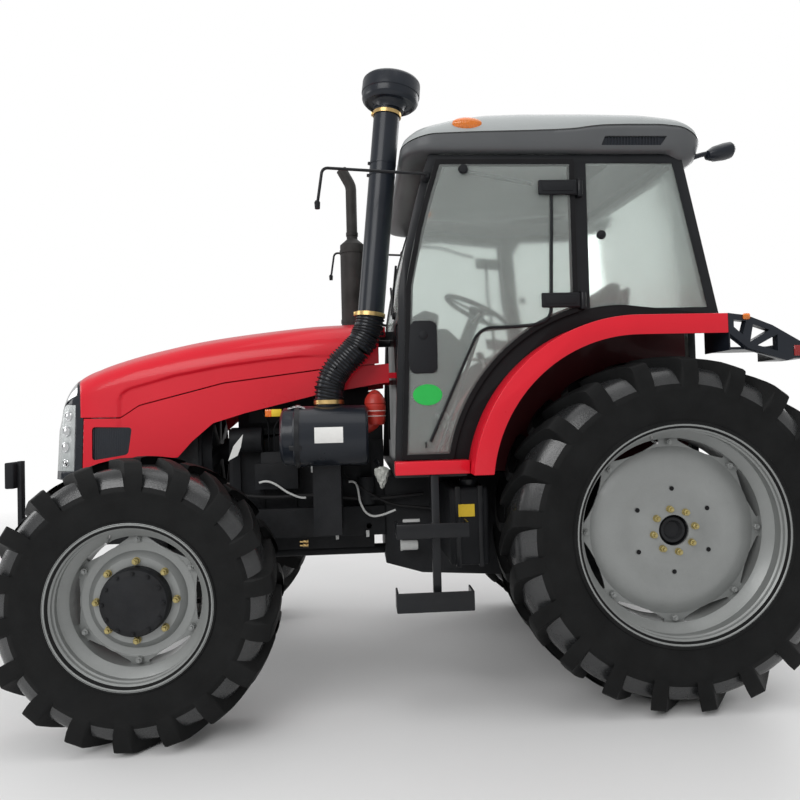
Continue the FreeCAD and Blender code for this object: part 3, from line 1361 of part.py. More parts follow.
def hood_section(row, inset):
    """One cross-section of lines and arcs, shrunk evenly by an inset."""
    share, crown, crown_out, crown_drop, side_out, side_drop, foot_out = row
    back = inset if share == 1 else 0
    foot = value("hood_crown - hood_foot") + 2 * inset / (inset + 1)

    def at(drop, out):
        return hood_spot(share, drop, out) - VECTOR(back, 0, 0)

    low = at(foot, foot_out - inset)
    side = at(side_drop + inset * 0.3, side_out - inset)
    shoulder = at(crown_drop + inset * 0.9, crown_out - inset * 0.6)
    chord = shoulder - side
    bulge = (side + shoulder) * 0.5 + VECTOR(0, chord.z, -chord.y) * 0.14
    flip = [VECTOR(spot.x, -spot.y, spot.z) for spot in (low, side, bulge, shoulder)]
    return Part.Wire([
        Part.makeLine(flip[0], low),
        Part.makeLine(low, side),
        Part.Arc(side, bulge, shoulder).toShape(),
        Part.Arc(shoulder, at(crown + inset, 0), flip[3]).toShape(),
        Part.Arc(flip[3], flip[2], flip[1]).toShape(),
        Part.makeLine(flip[1], flip[0]),
    ])


def hood_solid(inset):
    return Part.makeLoft([hood_section(row, inset) for row in HOOD_SECTIONS], True, True)


def side_prism(corners, low, high):
    """A block across the tractor whose side view is a polygon of (share, drop) corners."""
    spots = [hood_spot(share, drop, low) for share, drop in corners]
    return Part.Face(Part.makePolygon(spots + spots[:1])).extrude(VECTOR(0, high - low, 0))


def nose_block(low_out, high_out, bottom, top):
    """A block through the nose in front of the lamps' rear edge."""
    start = VECTOR(value(ahead("lamp_rear")), value(low_out), value(bottom))
    return Part.makeBox(300, value(high_out) - start.y, value(top) - start.z, start)


def slots(base, count, height, step, out, depth):
    """Level slots one above the other, across a grille."""
    return [Part.makeBox(depth, out[1] - out[0], height, base + VECTOR(0, out[0], step * number))
            for number in range(count)]


def make_hood():
    outer = hood_solid(0)
    wall = value("hood_wall")
    inner = hood_solid(wall)
    inner.translate(VECTOR(-0.01, 0, 0))
    rear_open = Part.makeBox(200, 1000, 900, VECTOR(value(ahead("hood_rear - 195")), -500, 1090))
    shell = outer.cut(inner).cut(rear_open)
    far = 600
    below = [(share, 950) for share in (HOOD_SEAM[-1][0], HOOD_SEAM[0][0])]
    top = shell.cut(side_prism(list(HOOD_SEAM) + below, -far, far))
    lamp = nose_block("grille_half_width", "grille_half_width + 400", "lamp_bottom", "lamp_top")
    middle = nose_block("-grille_half_width", "grille_half_width", "lamp_bottom", "lamp_top - 40")
    flipped = lamp.mirror(VECTOR(), VECTOR(0, 1, 0))
    top = top.cut([lamp, flipped, middle])
    hood = feature("HoodTop", max(top.Solids, key=lambda part: part.Volume))
    lug = box("HoodLug", (ahead("hood_pivot_ahead - 16"), ahead("hood_rear + 60")),
              ("hood_lug_out", "hood_lug_out + hood_lug_thickness"),
              ("hood_pivot_height - 18", "hood_pivot_height + 39"))
    bore = rod("HoodLugBore", "y", ahead("hood_pivot_ahead"), "hood_lug_out - 5", "hood_pivot_height",
               "hood_pin_radius + running_gap", "hood_lug_thickness + 10")
    lug = cut("HoodLugBored", lug, bore)
    node("hood", fuse("HoodWithLugs", hood, lug, mirror("HoodLugTwin", lug)))
    nose = outer.cut(hood_solid(value("lamp_depth")))
    lens = feature("Headlamp", nose.common(lamp))
    node("headlamps", pair("Headlamps", lens))
    opening = slots(hood_spot(0.9, 740), 6, 18, 42, (-118, 118), 400)
    node("grille", feature("Grille", nose.common(middle).cut(opening)))

    gap = value("hood_gap")
    share_gap = gap / value("hood_front - hood_rear")
    lower_seam = [(share - share_gap, drop + gap) for share, drop in HOOD_SEAM]
    panels = shell.common(side_prism(lower_seam + [(WHEEL_ARCH[0][0] - share_gap, WHEEL_ARCH[0][1])]
                                     + list(WHEEL_ARCH[1:]), 0, far))
    hole = side_prism(SIDE_OPENING, 0, far)
    panel = max(panels.cut(hole).Solids, key=lambda part: part.Volume)
    front_stay = box("PanelFrontStay", (ahead("radiator_rear + 10"), ahead("radiator_rear + 60")),
                     ("radiator_half_width", "372"), ("1385", "1410"))
    rear_stay = box("PanelRearStay", (ahead("pillar_knee_ahead"), ahead("hood_rear + 40")),
                    ("384", "396"), ("1590", "1620"))
    stayed = fuse("HoodPanelStayed", feature("HoodPanel", panel), front_stay, rear_stay)
    node("hood_side_panels", pair("HoodPanels", stayed))
    core = outer.cut(hood_solid(2 * wall)).common(hole)
    louvres = slots(hood_spot(0.763, 700), 5, 14, 30, (0, far), 190)
    node("side_grilles", pair("SideGrilles", feature("SideGrille", core.cut(louvres))))


# Intake and exhaust

def make_intake():
    can = turned("Cleaner", "x", [
        ("cleaner_rear", "0"),
        ("cleaner_rear", "cleaner_radius - 14"),
        ("cleaner_rear + 12", "cleaner_radius"),
        ("cleaner_front - 95", "cleaner_radius"),
        ("cleaner_front - 88", "cleaner_radius + 5"),
        ("cleaner_front - 72", "cleaner_radius + 5"),
        ("cleaner_front - 65", "cleaner_radius - 4"),
        ("cleaner_front - 14", "cleaner_radius - 8"),
        ("cleaner_front", "cleaner_radius - 26"),
        ("cleaner_front", "0"),
    ], ahead("0"), "cleaner_out", "cleaner_height")
    shelf = box("CleanerBracket", (ahead("1560"), ahead("1700")), ("rail_out", "cleaner_out"),
                ("rail_bottom + 60", "cleaner_height - cleaner_radius + 30"))
    node("air_cleaner", fuse("CleanerWhole", can, shelf))
    route = [
        (ahead("pillar_top_ahead + 180"), "intake_out", "precleaner_bottom"),
        (ahead("pillar_knee_ahead + 134"), "intake_out", "1930"),
        (ahead("pillar_knee_ahead + 182"), "intake_out", "1700"),
        (ahead("1614"), "intake_out", "cleaner_height + cleaner_radius - 20"),
    ]
    pipe = bent_tube("IntakePipe", route, "intake_radius", "160")
    folds = rings_along("HoseFold", route, "160", "intake_radius + hose_ring", "11", "20",
                        "cleaner_height + cleaner_radius + 60", "1860")
    clamps = rings_along("HoseClamp", route, "160", "intake_radius + 4", "14", "34", "1880", "1945")
    head = turned("PreCleaner", "z", [
        ("precleaner_bottom - 26", "0"),
        ("precleaner_bottom - 26", "intake_radius + 8"),
        ("precleaner_bottom", "intake_radius + 10"),
        ("precleaner_bottom + 12", "precleaner_radius"),
        ("precleaner_top - 60", "precleaner_radius"),
        ("precleaner_top - 18", "precleaner_radius - 18"),
        ("precleaner_top", "precleaner_radius - 60"),
        ("precleaner_top", "0"),
    ], ahead("pillar_top_ahead + 164"), "intake_out", 0)
    seat = rod("CleanerSeat", "x", ahead("cleaner_rear"), "cleaner_out", "cleaner_height", "cleaner_radius",
               "cleaner_front - cleaner_rear - 100")
    node("air_intake", cut("AirIntake", fuse("IntakeWhole", pipe, head, *folds, *clamps), seat))
    bends = [
        (ahead("cleaner_rear + 60"), "cleaner_out - 35", "cleaner_height + 40"),
        (ahead("elbow_ahead"), "cleaner_out - 35", "cleaner_height + 40"),
        (ahead("elbow_ahead"), "cleaner_out - 35", "elbow_height"),
        (ahead("elbow_ahead"), "head_half_width + 80", "elbow_height"),
    ]
    tube = bent_tube("ElbowTube", bends, "elbow_radius", "60")
    bands = rings_along("ElbowBand", bends, "60", "elbow_radius + 7", "12", "26", "cleaner_height + 95",
                        "elbow_height - 65")
    node("intake_elbow", cut("ElbowSeated", fuse("IntakeElbow", tube, *bands), seat))


def make_exhaust():
    muffler = turned("Muffler", "z", [
        ("muffler_bottom - 60", "0"),
        ("muffler_bottom - 60", "tailpipe_radius"),
        ("muffler_bottom", "muffler_radius"),
        ("muffler_top - 40", "muffler_radius"),
        ("muffler_top", "tailpipe_radius"),
        ("muffler_top", "0"),
    ], ahead("exhaust_ahead"), "-exhaust_out", 0)
    tail = bent_tube("Tailpipe", [
        (ahead("exhaust_ahead"), "-exhaust_out", "muffler_top - 5"),
        (ahead("exhaust_ahead"), "-exhaust_out", "tailpipe_top - 110"),
        (ahead("exhaust_ahead + 60"), "-exhaust_out", "tailpipe_top"),
    ], "tailpipe_radius", "100")
    down = bent_tube("DownPipe", [
        (ahead("exhaust_ahead"), "-exhaust_out", "muffler_bottom - 55"),
        (ahead("exhaust_ahead"), "-exhaust_out", "downpipe_height"),
        (ahead("exhaust_ahead"), "-(head_half_width + 80)", "downpipe_height"),
    ], "tailpipe_radius", "90")
    node("exhaust", fuse("Exhaust", muffler, tail, down))


# Lamps, mirrors

def make_trim():
    lamp = box("RearWorkLamp", (ahead("work_lamp_rear"), ahead("roof_rear")),
               ("work_lamp_in", "work_lamp_out"), ("work_lamp_bottom", "work_lamp_top"))
    node("work_lamps", pair("WorkLamps", lamp))
    # columns: ahead, out from the cab's side, height
    route = ((1115, 0, 2532), (1115, 45, 2532), (1606, 60, 2557), (1633, 60, 2384))
    mirror_rod = bent_tube("MirrorRod", [(ahead(x), f"cab_out + {y}", z) for x, y, z in route],
                           "mirror_rod_radius", "28")
    node("mirror_rods", pair("MirrorRods", mirror_rod))


# Rear hitch

TOP_LINK_Z = "(rocker_height - top_link_drop)"


def make_hitch(housing):
    """The three-point hitch, drawbar and shaft stub; the hitch's fixed brackets are part of the housing."""
    droop = FreeCAD.Rotation(VECTOR(0, 1, 0), -SIZES["link_droop"])

    def swung(name, thing, x, z):
        """Turn a piece that was drawn level, pointing rearward from the origin, to its rest angle."""
        turned_piece = fuse(name, *thing)
        turned_piece.Placement = FreeCAD.Placement(VECTOR(), droop)
        return place(turned_piece, x, 0, z)

    arm = pad("LiftArm", "side", [[
        ("0", "-45", "round"), ("0", "45"), ("-lift_arm_length", "25", "round"), ("-lift_arm_length", "-25"),
    ]], "lift_arm_out - link_thickness", "lift_arm_out")
    shaft = rod("Rocker", "y", "0", "-lift_arm_out", "0", "rocker_radius", "lift_arm_out * 2")
    pin = rod("LiftPin", "y", "-lift_arm_length", "lift_arm_out - link_thickness", "0", "link_pin_radius",
              "link_thickness + 40")
    arms = [arm, mirror("LiftArmTwin", arm), shaft, pin, mirror("LiftPinTwin", pin)]
    node("lift_arms", swung("LiftArms", arms, ahead("rocker_ahead"), "rocker_height"))
    link = pad("LowerLink", "side", [[
        ("0", "-link_half_height", "round"), ("0", "link_half_height"),
        ("-link_length", "link_half_height", "round"), ("-link_length", "-link_half_height"),
    ]], "lift_arm_out - link_thickness", "lift_arm_out")
    pivot_hole = rod("LinkPivotHole", "y", "0", "lift_arm_out - link_thickness - 1", "0",
                     "link_pin_radius + running_gap", "link_thickness + 2")
    ball_hole = rod("LinkBallHole", "y", "-link_length", "lift_arm_out - link_thickness - 1", "0",
                    "link_ball_bore", "link_thickness + 2")
    link_pin = rod("LinkLiftPin", "y", "-lift_arm_length", "lift_arm_out - 2", "0", "link_pin_radius", 42)
    link = fuse("LinkWithPin", cut("LinkBored", link, pivot_hole, ball_hole), link_pin)
    links = [link, mirror("LinkTwin", link)]
    node("lower_links", swung("LowerLinks", links, ahead("link_pivot_ahead"), "link_pivot_height"))
    anchor = rod("LinkAnchor", "y", ahead("link_pivot_ahead"), "axle_case_half_width",
                 "link_pivot_height", "link_pin_radius", "lift_arm_out + 15 - axle_case_half_width")
    bracket = box("AnchorBracket", (ahead("link_pivot_ahead - 45"), ahead("link_pivot_ahead + 45")),
                  ("axle_case_half_width - 60", "axle_case_half_width"),
                  ("link_pivot_height - 40", "axle_case_bottom"))
    housing += [anchor, bracket, mirror("LinkAnchorTwin", anchor), mirror("AnchorBracketTwin", bracket)]
    rise = math.sin(math.radians(SIZES["link_droop"]))
    run = math.cos(math.radians(SIZES["link_droop"]))
    top = (ahead(f"rocker_ahead - lift_arm_length * {run}"), f"rocker_height - lift_arm_length * {rise}")
    low = (ahead(f"link_pivot_ahead - lift_arm_length * {run}"),
           f"link_pivot_height - lift_arm_length * {rise}")
    out = "lift_arm_out + 20"
    bar = strut("LiftRodBar", (top[0], out, top[1]), (low[0], out, low[1]), "lift_rod_radius")
    eyes = [rod(f"LiftRodEye{tag}", "y", x, "lift_arm_out + running_gap", z, "link_pin_radius * 2.2", 38)
            for tag, (x, z) in (("Top", top), ("Low", low))]
    bores = [rod(f"LiftRodBore{tag}", "y", x, "lift_arm_out - 5", z, "link_pin_radius + running_gap", 60)
             for tag, (x, z) in (("Top", top), ("Low", low))]
    lift_rod = cut("LiftRod", fuse("LiftRodWhole", bar, *eyes), *bores)
    node("lift_rods", pair("LiftRods", lift_rod))
    ears = box("TopLinkEars", (ahead("axle_case_rear - 70"), ahead("axle_case_rear")), ("-45", "45"),
               (f"{TOP_LINK_Z} - 40", f"{TOP_LINK_Z} + 40"))
    gap = box("TopLinkGap", (ahead("axle_case_rear - 71"), ahead("axle_case_rear")), ("-25", "25"),
              (f"{TOP_LINK_Z} - 41", f"{TOP_LINK_Z} + 41"))
    pin_x = "axle_case_rear - top_link_setback"
    ear_pin = rod("TopLinkPin", "y", ahead(pin_x), "-45", TOP_LINK_Z, "top_link_bore - 0.5", 90)
    housing += [cut("TopLinkEarPair", ears, gap), ear_pin]
    node("rear_axle_housing", fuse("RearAxleHousing", *housing))
    top_bar = rod("TopLinkBar", "x", ahead(f"{pin_x} - top_link_length"), "0", TOP_LINK_Z,
                  "top_link_radius", "top_link_length")
    ends = (("Near", "0", "top_link_bore - 0.5 + running_gap"), ("Far", "top_link_length", "top_link_bore"))
    top_eyes = [rod(f"TopLinkEye{tag}", "y", ahead(f"{pin_x} - {shift}"), "-top_link_eye_width / 2",
                    TOP_LINK_Z, "top_link_eye_radius", "top_link_eye_width") for tag, shift, radius in ends]
    top_bores = [rod(f"TopLinkBore{tag}", "y", ahead(f"{pin_x} - {shift}"), "-60", TOP_LINK_Z, radius, 120)
                 for tag, shift, radius in ends]
    node("top_link", cut("TopLink", fuse("TopLinkWhole", top_bar, *top_eyes), *top_bores))
    bar = box("Drawbar", (ahead("drawbar_rear"), ahead("drawbar_front")),
              ("-drawbar_half_width", "drawbar_half_width"),
              ("drawbar_height", "drawbar_height + drawbar_thickness"))
    hanger = box("DrawbarHanger", (ahead("-150"), ahead("150")), ("-90", "90"),
                 ("drawbar_height + drawbar_thickness", "axle_case_bottom"))
    hole = rod("DrawbarHole", "z", ahead("drawbar_hole_ahead"), "0", "drawbar_height - 1", "drawbar_bore",
               "drawbar_thickness + 20")
    node("drawbar", cut("DrawbarBored", fuse("DrawbarWhole", bar, hanger), hole))
    stub = rod("PtoStub", "x", ahead("axle_case_rear - pto_length"), "0", "pto_height", "pto_radius",
               "pto_length - running_gap")
    node("pto_shaft", stub)


make_wheels()
make_front_axle()
make_knuckles()
make_front_frame()
make_engine()
axle_housing = make_driveline()
make_tanks_and_steps()
make_fenders()
make_cab_frame()
make_cab_panels()
make_glass()
make_doors()
make_roof()
make_interior()
make_hood()
make_intake()
make_exhaust()
make_trim()
make_hitch(axle_housing)
document.recompute()

failed = [thing.Name for thing in document.Objects if "Invalid" in thing.State or "Error" in thing.State]
if failed:
    raise ValueError(f"these failed: {failed}")
for piece in nodes:
    if piece.Shape.isNull() or not piece.Shape.isValid():
        raise ValueError(f"{piece.Label} has no valid shape")
os.makedirs("parts", exist_ok=True)
for piece in nodes:
    piece.Shape.exportStep(f"parts/{piece.Label}.step")
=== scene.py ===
"""A farm tractor with a closed cab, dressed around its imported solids.

Places are written in millimetres as (ahead of the rear axle, out to the left, above the ground), the way the
tractor was measured, and spot() turns them into the model's metres. A place that is a Vector is in metres.
"""

import json
import math

import bpy
from mathutils import Matrix, Vector


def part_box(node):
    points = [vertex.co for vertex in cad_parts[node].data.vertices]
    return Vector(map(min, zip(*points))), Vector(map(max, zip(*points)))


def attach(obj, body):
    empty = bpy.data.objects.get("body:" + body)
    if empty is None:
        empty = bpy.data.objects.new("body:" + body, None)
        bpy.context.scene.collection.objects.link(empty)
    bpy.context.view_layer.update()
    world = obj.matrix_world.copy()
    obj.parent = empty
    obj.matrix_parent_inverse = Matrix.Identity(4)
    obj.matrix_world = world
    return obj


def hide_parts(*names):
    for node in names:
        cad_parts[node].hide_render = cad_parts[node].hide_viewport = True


bl_info = {
    "name": "Farm tractor",
    "version": (1, 0, 0),
    "blender": (4, 5, 0),
    "location": "View3D > Sidebar > Tractor",
    "description": "Models the tyres, rims, body panels, cab, lamps and pipes of a farm tractor",
    "category": "Add Mesh",
}

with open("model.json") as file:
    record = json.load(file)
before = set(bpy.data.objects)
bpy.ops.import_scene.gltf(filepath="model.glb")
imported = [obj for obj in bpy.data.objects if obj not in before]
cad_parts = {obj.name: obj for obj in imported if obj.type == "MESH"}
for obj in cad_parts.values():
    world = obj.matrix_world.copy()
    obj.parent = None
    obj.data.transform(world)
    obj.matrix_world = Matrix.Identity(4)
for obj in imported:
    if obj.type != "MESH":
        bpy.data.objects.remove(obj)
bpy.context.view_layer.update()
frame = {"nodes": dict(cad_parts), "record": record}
RECORD = frame["record"]
BODY_OF = {node: body for body, nodes in RECORD["behaviour"]["bodies"].items() for node in nodes}
SLOT_OF = {part["node"]: part["material_slot"] for part in RECORD["subparts"]}
AXES = {"x": Vector((1, 0, 0)), "y": Vector((0, 1, 0)), "z": Vector((0, 0, 1))}
ZERO = Vector((0, 0, 0))


def middle(node):
    low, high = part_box(node)
    return (low + high) / 2


REAR_AXLE = middle("tyre_rear_left").x


def spot(ahead, out, up):
    return Vector((REAR_AXLE + ahead / 1000, out / 1000, up / 1000))


def metres(place):
    return place if isinstance(place, Vector) else spot(*place)


# Sizes and colours that a user would change

class TractorTyres(bpy.types.PropertyGroup):
    rear_lugs: bpy.props.IntProperty(name="Rear lugs", description="Lugs on each side of a rear tyre", default=21)
    front_lugs: bpy.props.IntProperty(name="Front lugs", description="Lugs on each side of a front tyre",
                                      default=18)
    turns: bpy.props.IntProperty(name="Turn steps", description="Steps round a tyre or rim", default=96)


class TractorBody(bpy.types.PropertyGroup):
    sheet: bpy.props.FloatProperty(name="Sheet", description="Thickness of the hood's sheet",
                                   default=0.005, unit="LENGTH")
    edge: bpy.props.FloatProperty(name="Edge rounding", description="Rounding of machined edges",
                                  default=0.003, unit="LENGTH")
    hose_turns: bpy.props.IntProperty(name="Hose rings", description="Rings of the intake hose", default=34)
    cushion_travel: bpy.props.FloatProperty(name="Cushion travel", default=0.022, unit="LENGTH",
                                            description="How far the seat's cloth may swell")


def colour_property(name, description, default):
    return bpy.props.FloatVectorProperty(name=name, description=description, default=default, subtype="COLOR",
        size=3, min=0, max=1)


class TractorColours(bpy.types.PropertyGroup):
    red: colour_property("Red paint", "Hood, fenders and sills", (0.62, 0.010, 0.024))
    grey: colour_property("Roof grey", "Cab roof", (0.34, 0.36, 0.36))
    silver: colour_property("Rim silver", "Rims and wheel discs", (0.27, 0.28, 0.275))
    black: colour_property("Chassis black", "Frame, cab posts and brackets", (0.008, 0.009, 0.011))
    rubber: colour_property("Rubber", "Tyres", (0.0085, 0.0088, 0.009))
    plastic: colour_property("Plastic", "Air intake and cleaner", (0.010, 0.013, 0.019))
    zinc: colour_property("Yellow zinc", "Wheel nuts", (0.42, 0.35, 0.15))
    glass: colour_property("Glass tint", "Cab glass", (0.76, 0.81, 0.785))


PARTS = {"tyres": TractorTyres, "body": TractorBody, "colours": TractorColours}


def sizes(part):
    return getattr(bpy.context.scene, "tractor_sizes_" + part)


# Small helpers for the modelling tools

def done():
    bpy.ops.object.mode_set(mode="OBJECT")


def fresh():
    if bpy.context.mode != "OBJECT":
        done()
    bpy.ops.object.select_all(action="DESELECT")


def choose(*pieces):
    fresh()
    for piece in pieces:
        piece.select_set(True)
    bpy.context.view_layer.objects.active = pieces[0]


def edit(piece, kind="VERT", action="SELECT"):
    choose(piece)
    bpy.ops.object.mode_set(mode="EDIT")
    bpy.ops.mesh.select_mode(type=kind)
    bpy.ops.mesh.select_all(action=action)


def pick(piece, test, kind="VERT"):
    """Select the vertices by place, the edges by both ends or the faces by centre and normal, in edit mode."""
    edit(piece, kind, "DESELECT")
    done()
    points = piece.data.vertices
    if kind == "FACE":
        for face in piece.data.polygons:
            face.select = test(face.center, face.normal)
    elif kind == "EDGE":
        for line in piece.data.edges:
            line.select = test(points[line.vertices[0]].co, points[line.vertices[1]].co)
    else:
        for point in points:
            point.select = test(point.co)
    bpy.ops.object.mode_set(mode="EDIT")


def named(name):
    piece = bpy.context.view_layer.objects.active
    piece.name = piece.data.name = name
    return piece


def modify(piece, kind, **settings):
    """Add a modifier, set it and apply it."""
    choose(piece)
    modifier = piece.modifiers.new(kind.title(), kind)
    for key, setting in settings.items():
        setattr(modifier, key, setting)
    bpy.ops.object.modifier_apply(modifier=modifier.name)
    return piece


def thickened(piece, thickness, offset=-1):
    return modify(piece, "SOLIDIFY", thickness=thickness, offset=offset)


def smooth(piece, degrees=32):
    choose(piece)
    bpy.ops.object.shade_smooth_by_angle(angle=math.radians(degrees))
    return piece


def rounded(piece, width, segments=2, degrees=30):
    return modify(piece, "BEVEL", width=width, segments=segments, limit_method="ANGLE",
        angle_limit=math.radians(degrees), harden_normals=False)


def settle(piece):
    """Bring a piece's place, turn and scale into its mesh."""
    choose(piece)
    bpy.ops.object.transform_apply(location=True, rotation=True, scale=True)
    return piece


def shifted(piece, place, turn=None):
    """Move a mesh from the middle to a place, after a turn."""
    turn = turn or Matrix.Identity(4)
    piece.data.transform(Matrix.Translation(metres(place)) @ turn)
    return piece


def facing(direction):
    return direction.to_track_quat("Z", "Y").to_matrix().to_4x4()


def scaled(piece, *shares):
    piece.scale = shares
    return settle(piece)


def joined(name, *pieces):
    choose(*pieces)
    if len(pieces) > 1:
        bpy.ops.object.join()
    return named(name)


def deleted(piece):
    choose(piece)
    bpy.ops.object.delete()


def cut(piece, hole, solver):
    modify(piece, "BOOLEAN", object=hole, operation="DIFFERENCE", solver=solver)
    deleted(hole)


def outward(piece, threshold=0.0):
    """Turn the faces outwards, after merging doubles where a threshold is given."""
    edit(piece)
    if threshold:
        bpy.ops.mesh.remove_doubles(threshold=threshold)
    bpy.ops.mesh.normals_make_consistent(inside=False)
    done()
    return piece


def extrude_along(places):
    for here, there in zip(places, places[1:]):
        bpy.ops.mesh.extrude_region_move(TRANSFORM_OT_translate={"value": Vector(there) - Vector(here)})


def chain(name, places, close=False):
    """A run of edges, drawn by extruding one vertex."""
    fresh()
    bpy.ops.mesh.primitive_plane_add(size=0.001, location=places[0])
    piece = settle(named(name))
    edit(piece)
    bpy.ops.mesh.merge(type="CENTER")
    extrude_along(places)
    if close:
        bpy.ops.mesh.select_all(action="SELECT")
        bpy.ops.mesh.edge_face_add()
    done()
    return piece


def lathe(name, axis, centre, profile, steps):
    """Spin an outline of (along, radius) round an axis through a centre."""
    along, centre = AXES[axis], metres(centre)
    across = AXES["x" if axis == "z" else "z"]
    piece = chain(name, [centre + along * far + across * radius for far, radius in profile])
    edit(piece)
    bpy.ops.mesh.spin(steps=steps, angle=2 * math.pi, center=centre, axis=along)
    return outward(piece, 0.00005)


def prism(name, outline, push, bevel=0.0, segments=2):
    """A flat outline, filled and pushed out to a solid."""
    piece = chain(name, outline, close=True)
    edit(piece)
    bpy.ops.mesh.extrude_region_move(TRANSFORM_OT_translate={"value": push})
    outward(piece)
    return rounded(piece, bevel, segments) if bevel else piece


def side_prism(name, corners, low, high, bevel=0.0, segments=2):
    """A solid between two places across the tractor, from an outline of (ahead, up) corners."""
    outline = [spot(ahead, low, up) for ahead, up in corners]
    return prism(name, outline, Vector((0, (high - low) / 1000, 0)), bevel, segments)


def slab(name, low, high, bevel=0.004, segments=2):
    """A block between two corners, with rounded edges."""
    low, high = metres(low), metres(high)
    fresh()
    bpy.ops.mesh.primitive_cube_add(size=1, location=(low + high) / 2, scale=high - low)
    return rounded(settle(named(name)), bevel, segments)


def pipe(name, places, radius, bend=0.0, sides=5, steps=5):
    """A round bar or tube along a line with rounded corners."""
    places = [metres(place) for place in places]
    piece = chain(name, places)
    if bend and len(places) > 2:
        pick(piece, lambda co: min((co - end).length for end in (places[0], places[-1])) > 1e-5)
        bpy.ops.mesh.bevel(offset=bend, segments=steps, affect="VERTICES", profile=0.5)
    choose(piece)
    bpy.ops.object.convert(target="CURVE")
    line = bpy.context.view_layer.objects.active
    line.data.bevel_depth = radius
    line.data.bevel_resolution = sides
    line.data.use_fill_caps = True
    bpy.ops.object.convert(target="MESH")
    return smooth(named(name), 40)


def mirrored(name, piece):
    """A copy on the tractor's other side."""
    choose(piece)
    bpy.ops.object.duplicate()
    twin = scaled(named(name), 1, -1, 1)
    edit(twin)
    bpy.ops.mesh.flip_normals()
    done()
    return twin


def twice(name, *pieces):
    """Pieces joined with their copies on the other side."""
    half = joined(name, *pieces)
    return joined(name, half, mirrored(name + "_b", half))


def moved(name, piece, step):
    choose(piece)
    bpy.ops.object.duplicate()
    twin = named(name)
    twin.location = twin.location + Vector(step)
    return settle(twin)


def ring_of(piece, count, axis, centre):
    """Repeat everything in a mesh round an axis."""
    edit(piece)
    bpy.ops.mesh.spin(steps=count - 1, dupli=True, angle=2 * math.pi * (count - 1) / count, center=metres(centre),
        axis=AXES[axis])
    done()
    return piece


def loft(name, rings):
    """Bridge closed rings of vertices, drawn one by one, into a solid with flat ends."""
    fresh()
    bpy.ops.mesh.primitive_plane_add(size=0.001, location=rings[0][0])
    piece = settle(named(name))
    edit(piece)
    bpy.ops.mesh.delete(type="VERT")
    for row in rings:
        bpy.ops.mesh.primitive_plane_add(size=0.001, location=row[0])
        bpy.ops.mesh.merge(type="CENTER")
        extrude_along(row)
        bpy.ops.mesh.select_all(action="DESELECT")
    done()
    size, last = len(rings[0]), (len(rings) - 1) * len(rings[0])

    def faced(chosen):
        for index, point in enumerate(piece.data.vertices):
            point.select = index in chosen
        bpy.ops.object.mode_set(mode="EDIT")
        bpy.ops.mesh.edge_face_add()
        bpy.ops.mesh.select_all(action="DESELECT")
        done()

    for first in range(0, last + 1, size):
        faced((first, first + size - 1))
    for number in range(len(rings) - 1):
        for index, point in enumerate(piece.data.vertices):
            point.select = number * size <= index < (number + 2) * size
        for line in piece.data.edges:
            ends = sorted(index // size for index in line.vertices)
            line.select = ends[0] == ends[1] and number <= ends[0] <= number + 1
        bpy.ops.object.mode_set(mode="EDIT")
        bpy.ops.mesh.select_mode(type="EDGE")
        bpy.ops.mesh.bridge_edge_loops(type="PAIRS", use_merge=False)
        bpy.ops.mesh.select_all(action="DESELECT")
        bpy.ops.mesh.select_mode(type="VERT")
        done()
    for first in (0, last):
        faced(range(first, first + size))
    return outward(piece)


def nut(name, centre, axis, across, height):
    """A hexagon nut with a chamfered face, its washer and the stud through it."""
    turn = {"x": (0, math.pi / 2, 0), "y": (math.pi / 2, 0, 0)}[axis]
    parts = []
    for index, (sides, radius, deep, shift) in enumerate((
            (6, across * 0.577, height, height / 2), (16, across * 0.62, height * 0.16, height * 0.08),
            (10, across * 0.28, height * 1.5, height * 0.75))):
        fresh()
        bpy.ops.mesh.primitive_cylinder_add(vertices=sides, radius=radius, depth=abs(deep), rotation=turn,
            location=metres(centre) + AXES[axis] * shift)
        part = settle(named(f"{name}_{index}"))
        parts.append(part if index else rounded(part, abs(height) * 0.08, 1))
    return joined(name, *parts)


def grid(name, columns, rows, place):
    """A sheet of quads whose corners are set by place(u, v)."""
    fresh()
    bpy.ops.mesh.primitive_grid_add(x_subdivisions=columns, y_subdivisions=rows, size=2, location=(0, 0, 0))
    piece = named(name)
    for point in piece.data.vertices:
        point.co = place((point.co.x + 1) / 2, (point.co.y + 1) / 2)
    piece.data.update()
    return piece


def turned_out(piece, direction):
    """Flip an open sheet whose faces look away from a direction."""
    total = sum((face.normal * face.area for face in piece.data.polygons), Vector())
    if total.dot(Vector(direction)) < 0:
        edit(piece)
        bpy.ops.mesh.flip_normals()
        done()
    return piece


def band_at(name, centre, direction, radius, width, thickness=0.003):
    """A clamp band round a tube, with its screw housing."""
    low, high = radius - 0.001, radius + thickness
    band = lathe(name, "z", ZERO, [(-width / 2, low), (-width / 2, high), (width / 2, high), (width / 2, low),
        (-width / 2, low)], 40)
    screw = slab(name + "_screw", Vector((-0.014, low, -width * 0.45)), Vector((0.014, radius + 0.010, width
        * 0.45)), 0.002)
    return shifted(joined(name, band, screw), centre, facing(Vector(direction).normalized()))


